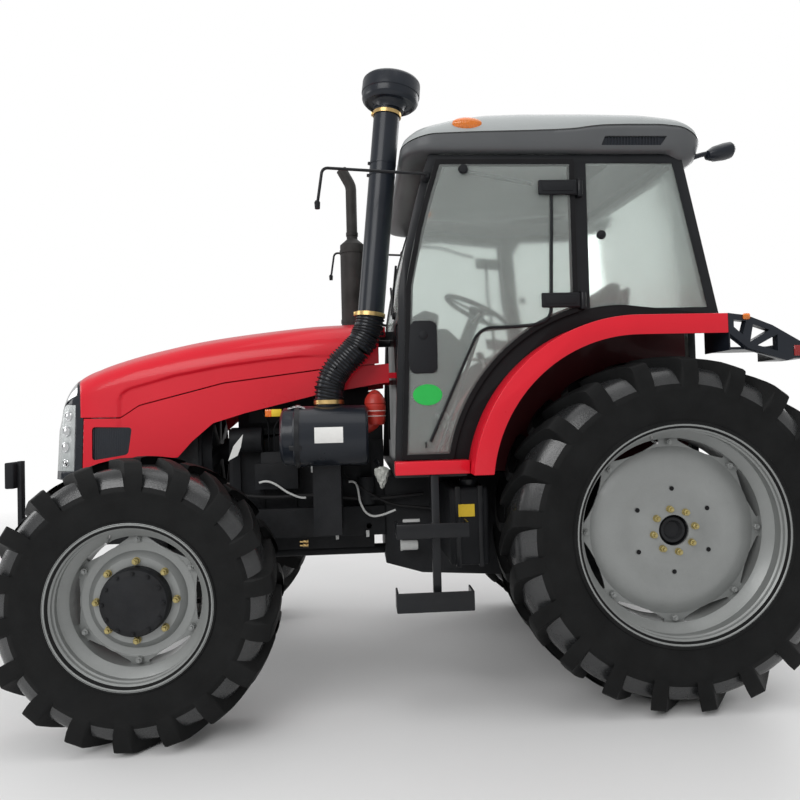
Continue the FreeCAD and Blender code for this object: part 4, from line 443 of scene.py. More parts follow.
def eased(table, at):
    """A row of a table for a value of its first column, on smooth curves through the rows."""
    at = min(max(at, table[0][0]), table[-1][0])
    index = max(number for number, row in enumerate(table[:-1]) if row[0] <= at)
    here, there = table[index], table[index + 1]
    before, after = table[max(index - 1, 0)], table[min(index + 2, len(table) - 1)]
    span = there[0] - here[0]
    part = (at - here[0]) / span
    found = []
    for column in range(1, len(here)):
        start = (there[column] - before[column]) / (there[0] - before[0]) * span
        end = (after[column] - here[column]) / (after[0] - here[0]) * span
        found.append((2 * part ** 3 - 3 * part ** 2 + 1) * here[column] + (part ** 3 - 2 * part ** 2 + part) * start
            + (3 * part ** 2 - 2 * part ** 3) * there[column] + (part ** 3 - part ** 2) * end)
    return found


def straight(table, at):
    """The second column of a table between its rows."""
    at = min(max(at, table[0][0]), table[-1][0])
    for here, there in zip(table, table[1:]):
        if at <= there[0]:
            return here[1] + (there[1] - here[1]) * (at - here[0]) / (there[0] - here[0])


def step(share):
    share = min(max(share, 0.0), 1.0)
    return share * share * (3 - 2 * share)


def arc(centre, radius, first, sweep, count):
    """Places of (ahead, up) on an arc."""
    angles = [math.radians(first + sweep * number / count) for number in range(count + 1)]
    return [(centre[0] + radius * math.cos(angle), centre[1] + radius * math.sin(angle)) for angle in angles]


# Finishes. Shared effects are node groups, and each finish places them with its own values.

def link(tree, start, finish):
    tree.links.new(start, finish)


def feed(tree, socket, source):
    if isinstance(source, bpy.types.NodeSocket):
        link(tree, source, socket)
    else:
        socket.default_value = source


def add(tree, kind, *ordered, **inputs):
    """A shader node with its inputs set or linked, in order or by name."""
    made = tree.nodes.new("ShaderNode" + kind)
    for socket, source in zip(made.inputs, ordered):
        feed(tree, socket, source)
    for title, source in inputs.items():
        feed(tree, made.inputs[title.replace("_", " ")], source)
    return made


def group(name, outputs, **inputs):
    """A node group with a vector and some floats or colours, told apart by their defaults, as inputs."""
    tree = bpy.data.node_groups.new(name, "ShaderNodeTree")
    tree.interface.new_socket(name="Vector", in_out="INPUT", socket_type="NodeSocketVector")
    for title, default in inputs.items():
        kind = "NodeSocketFloat" if isinstance(default, float) else "NodeSocketColor"
        tree.interface.new_socket(name=title, in_out="INPUT", socket_type=kind).default_value = default
    for title in outputs:
        kind = "NodeSocketColor" if title == "Colour" else "NodeSocketFloat"
        tree.interface.new_socket(name=title, in_out="OUTPUT", socket_type=kind)
    return tree, tree.nodes.new("NodeGroupInput").outputs, tree.nodes.new("NodeGroupOutput").inputs


def maths(tree, operation, first, second, clamp=False):
    made = add(tree, "Math", first, second)
    made.operation = operation
    made.use_clamp = clamp
    return made.outputs[0]


def cloud(tree, vector, scale, detail=4.0, roughness=0.6):
    return add(tree, "TexNoise", Detail=detail, Roughness=roughness, Scale=scale, Vector=vector).outputs["Fac"]


def spread(tree, source, low, high, to_low=0.0, to_high=1.0):
    return add(tree, "MapRange", From_Min=low, From_Max=high, To_Min=to_low, To_Max=to_high,
        Value=source).outputs["Result"]


GREY = (0.5, 0.5, 0.5, 1)


def make_mottle():
    """Patches of slightly lighter and darker colour."""
    tree, given, out = group("Mottle", ("Colour", "Patches"), Colour=GREY, Scale=4.0, Amount=0.1)
    patches = cloud(tree, given["Vector"], given["Scale"], 6.0, 0.62)
    shift = maths(tree, "MULTIPLY", spread(tree, patches, 0.3, 0.7, -1.0, 1.0), given["Amount"])
    tone = add(tree, "HueSaturation", Value=maths(tree, "ADD", shift, 1.0), Color=given["Colour"])
    link(tree, tone.outputs["Color"], out["Colour"])
    link(tree, patches, out["Patches"])
    return tree


def make_road_film():
    """The film of road water and dust that thickens towards the ground."""
    tree, given, out = group("Road film", ("Colour", "Mask"), Colour=GREY, Film=(0.075, 0.068, 0.06, 1), Amount=0.3,
        Reach=1.6)
    split = add(tree, "SeparateXYZ", Vector=given["Vector"])
    fade = spread(tree, maths(tree, "DIVIDE", split.outputs["Z"], given["Reach"]), 0.0, 1.0, 1.0, 0.18)
    patches = spread(tree, cloud(tree, given["Vector"], 5.5, 8.0, 0.68), 0.38, 0.72)
    specks = spread(tree, cloud(tree, given["Vector"], 90.0, 3.0, 0.6), 0.5, 0.75)
    both = maths(tree, "ADD", maths(tree, "MULTIPLY", patches, 0.75), maths(tree, "MULTIPLY", specks, 0.4))
    mask = maths(tree, "MULTIPLY", maths(tree, "MULTIPLY", both, fade), given["Amount"], True)
    mix = tree.nodes.new("ShaderNodeMix")
    mix.data_type = "RGBA"
    for title, source in (("Factor", mask), ("A", given["Colour"]), ("B", given["Film"])):
        link(tree, source, mix.inputs[title])
    link(tree, mix.outputs["Result"], out["Colour"])
    link(tree, mask, out["Mask"])
    return tree


def make_grain():
    """Fine relief: moulded grain, cast skin or orange peel, by scale."""
    tree, given, out = group("Grain", ("Height",), Scale=300.0, Pits=0.3)
    fine = cloud(tree, given["Vector"], given["Scale"], 3.0, 0.6)
    cells = add(tree, "TexVoronoi", Vector=given["Vector"], Scale=maths(tree, "MULTIPLY", given["Scale"], 0.6))
    pits = maths(tree, "MULTIPLY", cells.outputs["Distance"], given["Pits"])
    link(tree, maths(tree, "ADD", fine, pits), out["Height"])
    return tree


def make_beads():
    """Small rain drops that stand on paint and glass."""
    tree, given, out = group("Rain beads", ("Height", "Mask"), Scale=120.0, Share=0.3)
    cells = add(tree, "TexVoronoi", Vector=given["Vector"], Scale=given["Scale"])
    keep = spread(tree, cloud(tree, given["Vector"], 9.0, 5.0), 0.35, 0.65)
    drop = maths(tree, "SUBTRACT", maths(tree, "MULTIPLY", keep, given["Share"]), cells.outputs["Distance"], True)
    link(tree, maths(tree, "POWER", drop, 0.5), out["Height"])
    link(tree, spread(tree, drop, 0.0, 0.05), out["Mask"])
    return tree


GROUPS = {}
MAKERS = {"mottle": make_mottle, "film": make_road_film, "grain": make_grain, "beads": make_beads}


def effect(tree, name, vector, **values):
    if name not in GROUPS:
        GROUPS[name] = MAKERS[name]()
    made = tree.nodes.new("ShaderNodeGroup")
    made.node_tree = GROUPS[name]
    link(tree, vector, made.inputs["Vector"])
    for title, source in values.items():
        feed(tree, made.inputs[title], source)
    return made


# columns: colour, metallic, roughness, coat, mottle scale, mottle amount, film amount, grain scale, grain depth,
# beads
FINISHES = {
    "red paint": ("red", 0.0, 0.30, 0.22, 1.6, 0.05, 0.02, 900, 0.00012, 0.2),
    # the fenders' red paint darkened as painted shade, under them and on their inner walls
    "red paint in painted shade": ((0.050, 0.004, 0.006), 0.0, 0.42, 0.1, 3.0, 0.20, 0.10, 500, 0.0002, 0.0),
    "roof grey": ("grey", 0.0, 0.34, 0.15, 1.3, 0.05, 0.10, 700, 0.00015, 0.2),
    "roof underside": ((0.080, 0.084, 0.088), 0.0, 0.42, 0.05, 2.0, 0.08, 0.12, 600, 0.0002, 0.1),
    "rim silver": ("silver", 0.35, 0.40, 0.15, 3.0, 0.08, 0.16, 600, 0.0002, 0.1),
    "black steel": ("black", 0.0, 0.36, 0.1, 4.0, 0.25, 0.10, 420, 0.0003, 0.0),
    "cast black": ((0.017, 0.018, 0.020), 0.0, 0.52, 0.0, 6.0, 0.30, 0.16, 160, 0.0009, 0.0),
    "black plastic": ("plastic", 0.0, 0.30, 0.15, 3.0, 0.18, 0.05, 380, 0.0003, 0.12),
    "matte plastic": ((0.013, 0.014, 0.016), 0.0, 0.55, 0.0, 5.0, 0.15, 0.08, 350, 0.0005, 0.0),
    "hose rubber": ((0.014, 0.014, 0.015), 0.0, 0.48, 0.0, 8.0, 0.2, 0.16, 300, 0.0004, 0.0),
    "seal rubber": ((0.010, 0.010, 0.011), 0.0, 0.55, 0.0, 8.0, 0.2, 0.08, 300, 0.0003, 0.0),
    "tyre rubber": ("rubber", 0.0, 0.50, 0.0, 7.0, 0.28, 0.04, 210, 0.0009, 0.0),
    # tyre shoulders: glossy as wet rubber, and lighter than the tyre as a painted sheen
    "wet rubber with painted sheen": ((0.022, 0.023, 0.024), 0.0, 0.26, 0.0, 9.0, 0.25, 0.05, 180, 0.0006, 0.1),
    "yellow zinc": ("zinc", 0.7, 0.42, 0.0, 30.0, 0.22, 0.15, 500, 0.0002, 0.0),
    "brass": ((0.62, 0.43, 0.18), 0.95, 0.30, 0.0, 20.0, 0.15, 0.10, 500, 0.0002, 0.0),
    "bare steel": ((0.45, 0.45, 0.45), 0.9, 0.36, 0.0, 14.0, 0.18, 0.25, 400, 0.0003, 0.0),
    "exhaust steel": ((0.030, 0.029, 0.028), 0.2, 0.52, 0.0, 9.0, 0.35, 0.20, 240, 0.0005, 0.0),
    "red silicone": ((0.42, 0.030, 0.020), 0.0, 0.40, 0.1, 12.0, 0.15, 0.15, 300, 0.0003, 0.0),
    "chrome": ((0.72, 0.73, 0.74), 1.0, 0.12, 0.0, 10.0, 0.04, 0.05, 500, 0.0001, 0.0),
    "white label": ((0.72, 0.72, 0.70), 0.0, 0.45, 0.0, 20.0, 0.05, 0.15, 500, 0.0001, 0.0),
    "yellow label": ((0.75, 0.52, 0.03), 0.0, 0.45, 0.0, 20.0, 0.08, 0.12, 500, 0.0001, 0.0),
    "green label": ((0.02, 0.42, 0.07), 0.0, 0.40, 0.0, 20.0, 0.05, 0.05, 500, 0.0001, 0.0),
    "white filter": ((0.62, 0.63, 0.62), 0.0, 0.38, 0.1, 20.0, 0.06, 0.2, 400, 0.0002, 0.0),
    "inner grey": ((0.20, 0.205, 0.20), 0.0, 0.60, 0.0, 5.0, 0.12, 0.10, 260, 0.0005, 0.0),
    "floor mat": ((0.035, 0.035, 0.036), 0.0, 0.70, 0.0, 12.0, 0.2, 0.25, 160, 0.0008, 0.0),
    "radiator core": ((0.035, 0.037, 0.040), 0.3, 0.50, 0.0, 30.0, 0.3, 0.3, 240, 0.0008, 0.0),
    "wrap film": ((0.42, 0.43, 0.40), 0.0, 0.20, 0.5, 30.0, 0.30, 0.10, 200, 0.0010, 0.0),
}
SLOT_FINISH = {
    "red_paint": "red paint", "red_panel": "red paint", "roof_grey": "roof grey", "black_steel": "black steel",
    "cast_black": "cast black", "black_plastic": "black plastic", "rim_silver": "rim silver",
    "tyre": "tyre rubber", "exhaust_steel": "exhaust steel", "bare_steel": "bare steel", "glass": "cab glass",
    "seat_fabric": "seat cloth", "lamp_glass": "lamp body", "red_silicone": "red silicone",
}
# how strongly a finish mirrors, where it isn't the usual 0.32
SHINE = {"tyre rubber": 0.10, "wet rubber with painted sheen": 0.62, "black steel": 0.22, "cast black": 0.12, "matte plastic": 0.14,
         "black plastic": 0.26, "hose rubber": 0.18, "seal rubber": 0.10, "red paint": 0.20, "red paint in painted shade": 0.12,
         "exhaust steel": 0.16, "bare steel": 0.5, "chrome": 0.5, "brass": 0.5, "yellow zinc": 0.5}


def new_material(name, **inputs):
    """A material whose shader's own inputs are set."""
    material = bpy.data.materials.new(name)
    material.use_nodes = True
    tree = material.node_tree
    shader = tree.nodes["Principled BSDF"]
    for title, setting in inputs.items():
        shader.inputs[title.replace("_", " ")].default_value = setting
    return material, tree, shader, tree.nodes.new("ShaderNodeTexCoord").outputs["Object"]


def tinted(tree, shader, where, colour, scale, amount, film=None):
    """A mottled base colour, below a road film where its amount is given."""
    patches = effect(tree, "mottle", where, Colour=(*colour, 1.0), Scale=scale, Amount=amount)
    top = patches if film is None else effect(tree, "film", where, Colour=patches.outputs["Colour"], Amount=film)
    link(tree, top.outputs["Colour"], shader.inputs["Base Color"])
    return patches, top


def bump(tree, shader, height, distance):
    relief = add(tree, "Bump", Distance=distance, Strength=1.0, Height=height)
    link(tree, relief.outputs["Normal"], shader.inputs["Normal"])


def make_paint(name):
    colour, metallic, roughness, coat, scale, amount, film, grain, depth, beads = FINISHES[name]
    if isinstance(colour, str):
        colour = getattr(sizes("colours"), colour)
    material, tree, shader, where = new_material(name, Metallic=metallic, Specular_IOR_Level=SHINE.get(name, 0.32),
        Coat_Weight=coat, Coat_Roughness=0.08)
    patches, dust = tinted(tree, shader, where, colour, scale, amount, film)
    varied = spread(tree, patches.outputs["Patches"], 0.3, 0.7, roughness * 0.85, roughness * 1.15)
    rough = maths(tree, "ADD", varied, maths(tree, "MULTIPLY", dust.outputs["Mask"], 0.35), True)
    relief = effect(tree, "grain", where, Scale=grain).outputs["Height"]
    if beads:
        drops = effect(tree, "beads", where, Scale=130.0, Share=beads)
        rough = maths(tree, "SUBTRACT", rough, maths(tree, "MULTIPLY", drops.outputs["Mask"], 0.25), True)
        relief = maths(tree, "ADD", relief, maths(tree, "MULTIPLY", drops.outputs["Height"], 6.0))
    link(tree, rough, shader.inputs["Roughness"])
    bump(tree, shader, relief, depth)
    return material


def make_glass_material(name, roughness=0.10, tint=None, through=0.85):
    material, tree, shader, where = new_material(name, Transmission_Weight=through, IOR=1.12)
    tinted(tree, shader, where, tint or sizes("colours").glass, 1.5, 0.03)
    mist = spread(tree, cloud(tree, where, 2.2, 6.0, 0.6), 0.40, 0.70, roughness, roughness + 0.12)
    link(tree, mist, shader.inputs["Roughness"])
    bump(tree, shader, effect(tree, "beads", where, Scale=150.0, Share=0.25).outputs["Height"], 0.0005)
    return material


def make_lens(name, tint, glow=0.0, through=0.55):
    """A moulded lens with ribs."""
    material, tree, shader, where = new_material(name, Roughness=0.12, Transmission_Weight=through, Coat_Weight=0.5)
    ribs = add(tree, "TexWave", Scale=38.0, Distortion=0.4, Vector=where)
    patches, top = tinted(tree, shader, where, tint, 20.0, 0.1)
    if glow:
        shader.inputs["Emission Strength"].default_value = glow
        link(tree, patches.outputs["Colour"], shader.inputs["Emission Color"])
    bump(tree, shader, ribs.outputs["Fac"], 0.0008)
    return material


def make_cloth(name):
    """Woven seat cloth with a faint fleck."""
    material, tree, shader, where = new_material(name, Roughness=0.85, Sheen_Weight=0.3)
    weave = add(tree, "TexBrick", Scale=260.0, Mortar_Size=0.035, Vector=where)
    tinted(tree, shader, where, (0.030, 0.031, 0.034), 40.0, 0.35, 0.1)
    bump(tree, shader, weave.outputs["Fac"], 0.0006)
    return material


SPECIAL = {
    "cab glass": make_glass_material,
    "lamp glass": lambda name: make_glass_material(name, 0.02, (0.93, 0.95, 0.96), 1.0),
    "lamp body": lambda name: make_lens(name, (0.50, 0.53, 0.53), 0.0, 0.25),
    "amber lens": lambda name: make_lens(name, (0.85, 0.22, 0.01), 0.15),
    "red lens": lambda name: make_lens(name, (0.55, 0.01, 0.01)),
    "seat cloth": make_cloth,
}


def finish(name):
    return bpy.data.materials.get(name) or SPECIAL.get(name, make_paint)(name)


def coat(piece, name):
    piece.data.materials.clear()
    piece.data.materials.append(finish(name))
    return piece


def paint_faces(piece, finish_name, test):
    """Give a second finish to the faces whose centre and normal pass a test."""
    piece.data.materials.append(finish(finish_name))
    index = len(piece.data.materials) - 1
    for face in piece.data.polygons:
        if test(face.center, face.normal):
            face.material_index = index


def ready(piece, body, slot, *replaced):
    """Validate a finished piece's mesh, attach it to its body and hide the solids it replaces."""
    piece.data.validate()
    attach(piece, body)
    if replaced:
        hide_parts(*replaced)
    return piece


def in_place_of(node, piece):
    return ready(piece, BODY_OF[node], SLOT_OF[node], node)


def extra(name, finish_name, slot, *pieces, body="chassis"):
    """Small parts of one finish and one body, joined as one piece."""
    return ready(smooth(coat(joined(name, *pieces), finish_name), 34), body, slot)


def copied(node, name):
    """A copy of a solid with its doubles merged, left in edit mode."""
    piece = bpy.data.objects.new(name, frame["nodes"][node].data.copy())
    bpy.context.scene.collection.objects.link(piece)
    edit(piece)
    bpy.ops.mesh.remove_doubles(threshold=0.00002)
    return piece


def dressed(node, finish_name=None, edge=None):
    """A copy of a solid with its flat faces joined, its edges rounded and a finish of its own."""
    piece = copied(node, f"{node}_finished")
    bpy.ops.mesh.dissolve_limited(angle_limit=math.radians(0.8))
    done()
    width = sizes("body").edge if edge is None else edge
    if width:
        rounded(piece, width, 2, 34)
    smooth(piece, 34)
    return in_place_of(node, coat(piece, finish_name or SLOT_FINISH[SLOT_OF[node]]))


def dress(**nodes):
    for node, (finish_name, edge) in nodes.items():
        dressed(node, finish_name, edge)


# Tyres

# columns: across from the middle (share of the half width), radius (share of the height above the bead)
TYRE_SIDE = (
    (0.94, 0.00), (0.965, 0.06), (0.965, 0.10), (0.93, 0.115), (0.935, 0.18), (0.965, 0.30), (0.975, 0.42),
    (0.965, 0.50), (0.972, 0.515), (0.966, 0.54), (0.925, 0.60), (0.865, 0.69), (0.790, 0.775), (0.68, 0.832),
    (0.48, 0.860), (0.25, 0.870), (0.0, 0.873),
)
# columns: across (share of the half width), lead round the tyre, radius of the top and of the foot (shares of
# the height above the bead), half width of the top and of the foot; lead and widths in metres
LUG_ROWS = (
    (-0.08, 0.150, 0.985, 0.83, 0.021, 0.026),
    (0.10, 0.130, 1.000, 0.83, 0.024, 0.029),
    (0.30, 0.088, 0.998, 0.83, 0.027, 0.032),
    (0.52, 0.040, 0.990, 0.82, 0.031, 0.036),
    (0.74, -0.006, 0.975, 0.74, 0.035, 0.040),
    (0.90, -0.032, 0.950, 0.64, 0.037, 0.042),
    (0.960, -0.040, 0.925, 0.58, 0.037, 0.042),
    (0.990, -0.045, 0.790, 0.54, 0.036, 0.041),
    (1.000, -0.047, 0.660, 0.52, 0.033, 0.038),
    (0.990, -0.049, 0.560, 0.50, 0.026, 0.030),
)


def about(centre, angle, radius, along):
    """A place round an axle."""
    return centre + Vector((radius * math.sin(angle), along, radius * math.cos(angle)))


def lug(name, centre, half, bead, rise, scale):
    """One tread lug at the top of the tyre, from its inner end to the foot on the sidewall."""
    rows = []
    for across, lead, top, foot, top_half, foot_half in LUG_ROWS:
        row = []
        for share, shift in ((foot, -foot_half), (foot, foot_half), (top, top_half), (top, -top_half)):
            radius = bead + rise * share
            angle = (lead * scale + shift) / radius
            out = across * half - (0.0 if share == top else 0.03 * half)
            row.append(about(centre, angle, radius, out))
        rows.append(row)
    piece = loft(name, rows)
    return rounded(piece, 0.005, 1, 25)


def make_tyre(end, count):
    node = f"tyre_{end}_left"
    low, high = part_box(node)
    centre = (low + high) / 2
    half = (high.y - low.y) / 2
    rim_low, rim_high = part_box(f"rim_{end}_left")
    flange = (rim_high.z - rim_low.z) / 2
    bead = flange - 0.026
    rise = (high.z - low.z) / 2 - bead
    profile = [(share * half, bead + rise * up) for share, up in TYRE_SIDE]
    profile = profile + [(-across, radius) for across, radius in reversed(profile[:-1])]
    profile = profile + [(-0.9 * half, bead), (0.9 * half, bead), profile[0]]
    carcass = lathe(f"carcass_{end}", "y", centre, profile, sizes("tyres").turns)
    coat(carcass, "tyre rubber")
    # beyond this radius the shoulders are wet and glossy, with a lighter colour that is a painted sheen
    wet = bead + rise * 0.57
    paint_faces(carcass, "wet rubber with painted sheen", lambda place, normal: math.hypot(place.x - centre.x, place.z - centre.z) > wet
        and abs(place.y - centre.y) > 0.30 * half)
    scale = (bead + rise) / 0.82
    lugs = lug(f"lugs_{end}", centre, half, bead, rise, scale)
    coat(lugs, "tyre rubber")
    ring_of(lugs, count, "y", centre)
    other = mirrored(f"lugs_{end}_b", lugs)
    other.location.y = 2 * centre.y
    settle(other)
    turn = Matrix.Rotation(math.pi / count, 4, "Y")
    other.data.transform(Matrix.Translation(centre) @ turn @ Matrix.Translation(-centre))
    left = joined(f"tyre_{end}_left_dressed", carcass, lugs, other)
    smooth(left, 28)
    right = mirrored(f"tyre_{end}_right_dressed", left)
    ready(left, BODY_OF[node], "tyre", node)
    ready(right, BODY_OF[f"tyre_{end}_right"], "tyre", f"tyre_{end}_right")


class TRACTOR_OT_tyres(bpy.types.Operator):
    """Model the four lugged tyres"""
    bl_idname = "tractor.tyres"
    bl_label = "Tyres"

    def execute(self, context):
        make_tyre("rear", sizes("tyres").rear_lugs)
        make_tyre("front", sizes("tyres").front_lugs)
        return {"FINISHED"}


# Rims

def make_rim(end, tabs, nuts, nut_circle, nut_phase):
    """A dished disc bolted by tabs into a barrel with a double-ridged flange."""
    node = f"rim_{end}_left"
    low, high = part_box(node)
    tyre_low, tyre_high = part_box(f"tyre_{end}_left")
    centre = (tyre_low + tyre_high) / 2
    flange = (high.z - low.z) / 2
    half = 0.205 if end == "rear" else 0.165
    bead = flange - 0.026
    wall = 0.007
    steps = sizes("tyres").turns
    outside = [(half, flange), (half + 0.002, flange - 0.006), (half - 0.004, flange - 0.012), (half - 0.010,
        bead + 0.006), (half - 0.016, bead), (half - 0.030, bead - 0.002), (half - 0.036, bead - 0.008), (half
        - 0.046, bead - 0.008), (half - 0.052, bead - 0.002), (half * 0.58, bead - 0.004), (half * 0.46, bead
        - 0.030), (half * 0.38, bead - 0.042)]
    inside = [(along, radius - wall) for along, radius in outside]
    inside[0] = (half + 0.001, flange - wall * 0.6)
    profile = inside + [(-along, radius) for along, radius in reversed(inside)]
    profile += [(-along, radius) for along, radius in outside] + list(reversed(outside)) + [inside[0]]
    barrel = lathe(f"barrel_{end}", "y", centre, profile, steps)
    recess = {"rear": 0.132, "front": 0.124}[end]
    face = half - recess
    reach = bead - 0.058
    dish = ([(face + 0.012, 0.072), (face + 0.012, 0.128), (face + 0.004, 0.150), (face + 0.000, 0.215), (face
        + 0.014, 0.245), (face + 0.022, 0.300), (face + 0.006, reach - 0.062), (face - 0.012, reach - 0.030)]
        if end == "rear" else [(face + 0.010, 0.100), (face + 0.010, 0.185), (face - 0.004, 0.205), (face - 0.014,
        0.212), (face - 0.016, reach - 0.034), (face - 0.012, reach - 0.024)])
    back = [(along - 0.009, radius) for along, radius in reversed(dish)]
    disc = lathe(f"disc_{end}", "y", centre, dish + back + dish[:1], steps)
    edge_radius = dish[-1][1]
    depth = dish[-1][0]
    pitch = 2 * math.pi / tabs
    rows = []
    for share, drop in ((0.0, 0.0), (0.35, 0.0), (0.72, -0.004), (1.0, -0.010)):
        radius = edge_radius - 0.004 + (bead - 0.044 - edge_radius) * share
        spread_angle = pitch * (0.5 - 0.36 * min(1, share * 1.6) ** 0.7)
        rows.append([about(centre, spread_angle * (side / 4 - 1), radius, depth + drop) for side in range(9)])
    outline = rows[0] + [row[-1] for row in rows[1:]] + rows[-1][-2::-1] + [row[0] for row in rows[-2:0:-1]]
    tab = prism(f"tab_{end}", outline, Vector((0, -0.009, 0)))
    bracket_radius = bead - 0.046
    bracket = slab(f"bracket_{end}", centre + Vector((-0.030, depth - 0.060, bracket_radius - 0.030)), centre
        + Vector((0.030, depth - 0.008, bracket_radius + 0.004)), 0.006)
    bolt = nut(f"bolt_{end}", centre + Vector((0, depth - 0.002, bracket_radius - 0.022)), "y", 0.026, 0.016)
    tabs_piece = joined(f"tabs_{end}", tab, bracket, bolt)
    ring_of(tabs_piece, tabs, "y", centre)
    rim = joined(f"rim_{end}_metal", barrel, disc, tabs_piece)
    coat(rim, "rim silver")
    smooth(rim, 30)
    nuts_piece = nut(f"nuts_{end}", about(centre, nut_phase, nut_circle, dish[1][0]), "y", 0.027, 0.022)
    ring_of(nuts_piece, nuts, "y", centre)
    coat(nuts_piece, "yellow zinc")
    pieces = [rim, nuts_piece]
    if end == "rear":
        hole = lathe("hub_bore", "y", centre, [(face - 0.02, 0.0), (face - 0.018, 0.036), (face + 0.002, 0.046),
            (face + 0.002, 0.058), (face - 0.030, 0.071), (face + 0.0125, 0.073)], 48)
        coat(hole, "cast black")
        # the disc's six holes are not cut: flat black dots on its face are the painted shade inside them
        hole_shade = lathe("disc_hole_shade", "y", centre + Vector((0, 0, 0.195)), [(face + 0.0035, 0.0),
            (face + 0.0045, 0.011)], 16)
        ring_of(hole_shade, 6, "y", centre)
        coat(hole_shade, "seal rubber")
        pieces += [hole, hole_shade]
    else:
        cap = lathe("hub_cap", "y", centre, [(face + 0.008, 0.150), (face + 0.045, 0.148), (face + 0.060, 0.140),
            (face + 0.066, 0.120), (face + 0.072, 0.060), (face + 0.074, 0.0)], 64)
        coat(cap, "cast black")
        rim_bolts = nut("cap_bolts", centre + Vector((0, face + 0.066, 0.128)), "y", 0.014, 0.007)
        ring_of(rim_bolts, 12, "y", centre)
        coat(rim_bolts, "cast black")
        pieces += [cap, rim_bolts]
    valve = pipe(f"valve_{end}", [centre + Vector((0.10, half * 0.5, bead - 0.012)), centre
        + Vector((0.10, half * 0.5, bead - 0.060)), centre + Vector((0.10, half * 0.78, bead - 0.068))], 0.005, 0.012)
    coat(valve, "bare steel")
    pieces.append(valve)
    left = joined(f"rim_{end}_left_dressed", *pieces)
    right = mirrored(f"rim_{end}_right_dressed", left)
    ready(left, BODY_OF[node], "rim_silver", node)
    ready(right, BODY_OF[f"rim_{end}_right"], "rim_silver", f"rim_{end}_right")


class TRACTOR_OT_rims(bpy.types.Operator):
    """Model the four rims with their discs, nuts and hubs"""
    bl_idname = "tractor.rims"
    bl_label = "Rims"

    def execute(self, context):
        make_rim("rear", 8, 8, 0.1015, math.radians(10))
        make_rim("front", 6, 8, 0.170, 0.0)
        return {"FINISHED"}


# Hood and nose

# columns: ahead, height of the crown, crown's end (out, height), shoulder's end (out, height), foot's half width
HOOD = (
    (1350, 1915, 318, 1868, 398, 1745, 405),
    (1696, 1895, 316, 1847, 391, 1731, 400),
    (2041, 1863, 308, 1812, 381, 1703, 393),
    (2318, 1827, 297, 1772, 368, 1653, 387),
    (2560, 1779, 284, 1719, 351, 1610, 379),
    (2750, 1728, 269, 1667, 332, 1565, 366),
    (2888, 1679, 252, 1619, 313, 1526, 351),
    (2974, 1626, 232, 1569, 288, 1481, 327),
    (3035, 1556, 202, 1503, 258, 1421, 298),
    (3078, 1440, 150, 1405, 205, 1350, 240),
)
# columns: ahead, height
SEAM = ((1298, 1674), (1668, 1646), (2169, 1588), (2613, 1481), (2662, 1449), (2711, 1419), (2908, 1422))
CREASE = ((1298, 1716), (1770, 1710), (1924, 1696), (2177, 1667), (2428, 1622), (2640, 1566), (2677, 1551),
          (2700, 1535), (2722, 1490))
ARCH = ((1298, 1568), (1350, 1563), (1694, 1508), (2057, 1425), (2226, 1376), (2337, 1283), (2411, 1202),
        (2700, 1195), (2712, 1103), (2905, 1103))
RED_FRONT = 2908
# columns: ahead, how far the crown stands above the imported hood
LIFT = ((1350, 10), (1700, 18), (2000, 16), (2500, 14), (2888, 18), (2974, 32), (3035, 46), (3078, 46))


def lifted(piece):
    """Raise the crown towards its measured line, fading out at the seam."""
    for point in piece.data.vertices:
        ahead, up = (point.co.x - REAR_AXLE) * 1000, point.co.z * 1000
        foot = straight(SEAM, ahead)
        if up > foot:
            point.co.z += straight(LIFT, ahead) * step((up - foot) / 190) / 1000
    return piece


def hood_rows(ahead, limit):
    """Half of the hood's cross-section, from the crown's middle down to a height."""
    crown, crown_out, crown_up, side_out, side_up, foot_out = eased(HOOD, ahead)
    rise = crown - crown_up
    radius = (crown_out ** 2 + rise ** 2) / (2 * rise)
    rows = []
    for number in range(15):
        out = crown_out * number / 14
        rows.append((out, crown - radius + math.sqrt(radius ** 2 - out ** 2)))
    bulge = ((crown_out + side_out) / 2 + (crown_up - side_up) * 0.28, (crown_up + side_up) / 2
        + (side_out - crown_out) * 0.28)
    for number in range(1, 11):
        part = number / 10
        rows.append(tuple((1 - part) ** 2 * first + 2 * part * (1 - part) * middle_one + part ** 2 * last for first,
            middle_one, last in zip((crown_out, crown_up), bulge, (side_out, side_up))))
    for number in range(1, 25):
        part = number / 24
        up = side_up + (limit - side_up) * part
        rows.append((side_out + (foot_out - side_out) * (side_up - up) / (side_up - 1100), up))
    return rows


def crease_depth(ahead, up):
    """How far the side lies in below and behind the crease."""
    if up > 1760 or ahead < 1500:
        return 0.0
    below = step((straight(CREASE, ahead) - up) / 15 + 0.5)
    behind = step((2724 - ahead) / 18)
    return 11.0 * below * behind * step((ahead - 1500) / 330)


def make_hood_top():
    count = len(hood_rows(2000, 1500))

    def place(u, v):
        side = 1 if v >= 0.5 else -1
        index = round(abs(2 * v - 1) * (count - 1))
        start = 1350 + (RED_FRONT - 1350) * u
        out = hood_rows(start, straight(SEAM, start))[index][0]
        ahead = 1350 + (RED_FRONT + 96 * max(0.0, 1 - (out / 345) ** 2) - 1350) * u
        out, up = hood_rows(ahead, straight(SEAM, min(ahead, RED_FRONT)))[index]
        return spot(ahead, side * (out - crease_depth(ahead, up)), up)

    sheet = sizes("body").sheet
    top = turned_out(grid("hood_top", 150, 2 * (count - 1), place), (0, 0, 1))
    thickened(top, sheet)
    rounded(top, 0.0014, 2, 60)
    lug = slab("hood_lug", (1304, 195, 1832), (1410, 207, 1889), 0.004)
    top = joined("hood_top", lifted(top), lug, mirrored("hood_lug_b", lug))
    coat(top, "red paint")
    smooth(top, 40)
    return top


